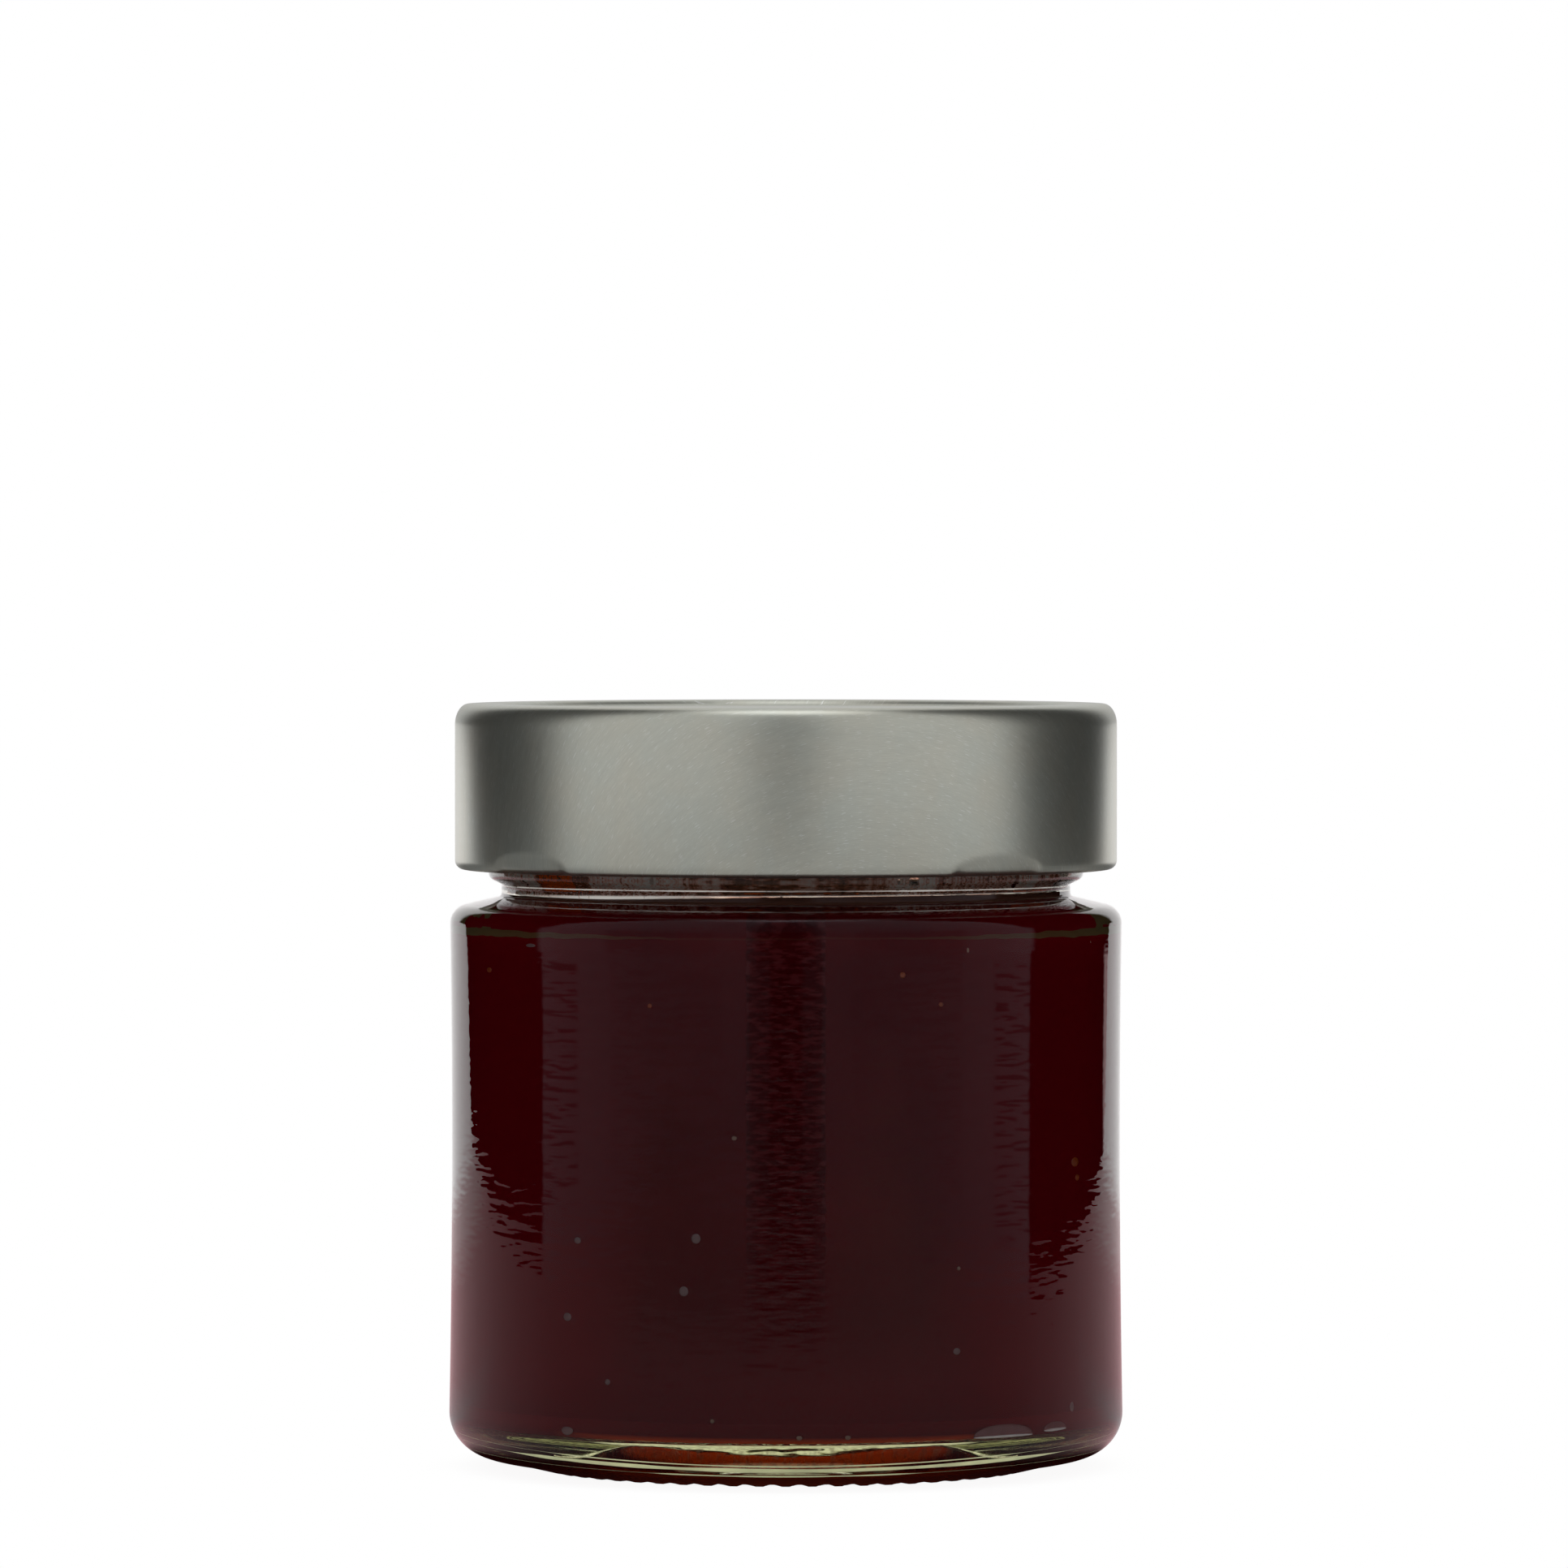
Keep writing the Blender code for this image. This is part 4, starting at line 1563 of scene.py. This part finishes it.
SMEARS = (
    # Front, from left to right: grey, beige, amber, brown, speckled, streaked, speckled, tan, dark.
    Smear(-86.0, 66.0, 6.0, 4.0, -0.40, -0.10, 0.3),
    Smear(-73.0, 66.4, 7.0, 4.0, -0.06, 0.85, 0.3),
    Smear(-62.5, 66.2, 3.0, 4.0, -0.22, 0.95, 0.3),
    Smear(-54.5, 66.3, 6.0, 2.9, 0.90, 0.95, 0.2),
    Smear(-46.5, 66.3, 2.6, 2.9, 0.26, 0.95, 0.4),
    Smear(-40.0, 66.3, 4.5, 2.9, -0.14, 0.90, 0.4),
    Smear(-30.0, 66.3, 6.0, 2.9, 0.04, 0.95, 0.4),
    Smear(-20.0, 66.3, 6.0, 2.9, -0.02, 0.95, 0.4),
    Smear(4.0, 66.3, 17.0, 2.9, 0.20, 0.95, 0.2),
    Smear(29.0, 66.4, 9.0, 2.9, 0.00, 0.62, 0.4),
    Smear(45.0, 66.4, 8.0, 2.9, 0.02, 0.95, 0.4),
    Smear(58.0, 66.4, 3.4, 2.9, -0.12, 0.95, 0.3),
    Smear(66.0, 66.4, 4.5, 2.9, 0.12, 0.90, 0.4),
    Smear(77.0, 66.4, 6.0, 2.9, -0.22, 0.45, 0.4),
    Smear(86.0, 66.0, 6.0, 4.0, -0.40, -0.10, 0.3),
    # Below them, brown down to the jam, with an amber spot to the right.
    Smear(0.0, 63.2, 66.0, 0.55, 0.22, 0.90, 0.2),
    Smear(61.0, 63.0, 7.0, 0.60, 0.60, 0.20, 0.5),
    # Back: a thin stain over most of it, clear to both sides.
    Smear(180.0, 66.5, 62.0, 3.6, -0.08, -0.10, 0.3),
    Smear(-116.0, 64.5, 24.0, 3.0, -0.40, -0.10, 0.4),
    Smear(103.0, 64.5, 14.0, 3.0, -0.40, -0.10, 0.4),
)

BUBBLES = (
    WallSpot(-39.1, 26.3, 0.45, 0.36),
    WallSpot(-15.8, 26.9, 0.50, 0.54),
    WallSpot(-18.0, 21.3, 0.50, 0.54),
    WallSpot(-41.3, 18.1, 0.56, 0.46),
    WallSpot(-32.5, 11.4, 0.34, 0.32),
    WallSpot(31.0, 14.7, 0.44, 0.38),
    WallSpot(-41.3, 6.0, 0.78, 0.42),
    WallSpot(59.2, 7.8, 0.40, 0.58),
    WallSpot(-50.4, 57.4, 1.05, 0.36),
)
# Painted light lines in the heel's glass.
GLEAMS = (
    Gleam(2.43, 3.60, 0.20, 58.0),
    Gleam(1.75, 2.60, 0.08, 26.0),
    Gleam(2.92, 4.30, 0.06, 48.0),
)
HALVES = (
    WallSpot(41.0, 5.5, 4.10, 1.20, 0.0),
    WallSpot(54.2, 5.7, 1.95, 0.80, 1.0),
)
SEEDS = (
    WallSpot(-9.0, 37.6, 0.28, 0.24),
    WallSpot(31.5, 23.5, 0.22, 0.20),
    WallSpot(33.3, 57.2, 0.22, 0.36),
    WallSpot(66.6, 57.1, 0.40, 0.68, 12.0),
    WallSpot(-83.5, 57.3, 0.60, 0.70),
    WallSpot(76.0, 35.0, 0.50, 0.66),
    WallSpot(-12.8, 7.6, 0.22, 0.22),
    WallSpot(2.3, 5.9, 0.30, 0.22),
    WallSpot(10.8, 5.9, 0.30, 0.22),
)
EMBERS = (
    WallSpot(-63.3, 54.7, 0.55, 0.28),
    WallSpot(-24.3, 51.5, 0.26, 0.24),
    WallSpot(60.9, 34.1, 0.75, 0.50),
    WallSpot(61.7, 32.4, 0.42, 0.34),
    WallSpot(20.6, 54.8, 0.32, 0.32),
    WallSpot(27.9, 51.6, 0.26, 0.24),
)


def main() -> None:
    """Builds the jar's pieces in order, then the studio, and reports each piece."""
    logging.basicConfig(level=logging.INFO, format="%(name)s: %(message)s")
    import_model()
    glass_low, glass_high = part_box("glass_jar")
    jam_low, jam_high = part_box("jam")
    cap_low, cap_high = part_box("lid")

    jar = GlassJar(body_r=glass_high.x, rim_z=glass_high.z)
    fill = JamFill(jar, top_z=jam_high.z)
    film = NeckFilm(jar, fill, top_z=jam_high.z + 8.0 * MM, smears=SMEARS)
    cap = TwistCap(radius=cap_high.x, bottom_z=cap_low.z, top_z=cap_high.z)

    bubble = WetFinish("bubble_air", (0.22, 0.13, 0.14), 1.33, 0.20, 0.0)
    seed = WetFinish("seed_husk", (0.30, 0.17, 0.13), 1.45, 0.30, 0.0)
    ember = WetFinish("lit_pulp", (0.35, 0.06, 0.010), 1.42, 0.30, 0.0)
    bead = WetFinish("syrup_bead", (0.92, 0.80, 0.74), 1.40)
    dome = WetFinish("bubble_dome", (0.20, 0.075, 0.080), 1.33, 0.15, 0.0)
    # Painted highlight: the near-white colour of the rims along the half bubbles.
    rim = WetFinish("painted_rim_highlight", (0.95, 0.88, 0.93), 1.33, 0.15, 0.0)

    pieces = [
        (jar.build(GlassFinish()), "clear_glass", "glass_jar"),
        (fill.build(JamFinish(floor_z=jar.floor_z)), "dark_jam", "jam"),
        (film.build_film(FilmFinish()), "dark_jam", None),
        (film.build_beads(bead), "dark_jam", None),
        # Painted light: glowing pale rings in the heel, no part of the jar.
        (HeelGleams(jar, GLEAMS).build(GleamFinish()), "clear_glass", None),
        (WallSpots(jar, SpotKind.BUBBLE, BUBBLES).build(bubble), "dark_jam", None),
        (WallSpots(jar, SpotKind.HALF, HALVES).build(dome), "dark_jam", None),
        (WallSpots(jar, SpotKind.RIM_HIGHLIGHT, HALVES, 0.2 * MM).build(rim), "dark_jam", None),
        (WallSpots(jar, SpotKind.SEED, SEEDS).build(seed), "dark_jam", None),
        (WallSpots(jar, SpotKind.EMBER, EMBERS).build(ember), "dark_jam", None),
        (cap.build(TinplateFinish()), "brushed_tinplate", "lid"),
    ]
    for made, slot, node in pieces:
        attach(made, BODY)
        if node:
            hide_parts(node)
        LOG.info("%s: %d faces, slot %s, replaces %s", made.name, len(made.data.polygons), slot, node)

    studio = Studio()
    studio.build_paper()
    studio.build_light()
    studio.build_camera()
    bpy.context.scene.view_settings.view_transform = "Standard"


if __name__ == "__main__":
    main()
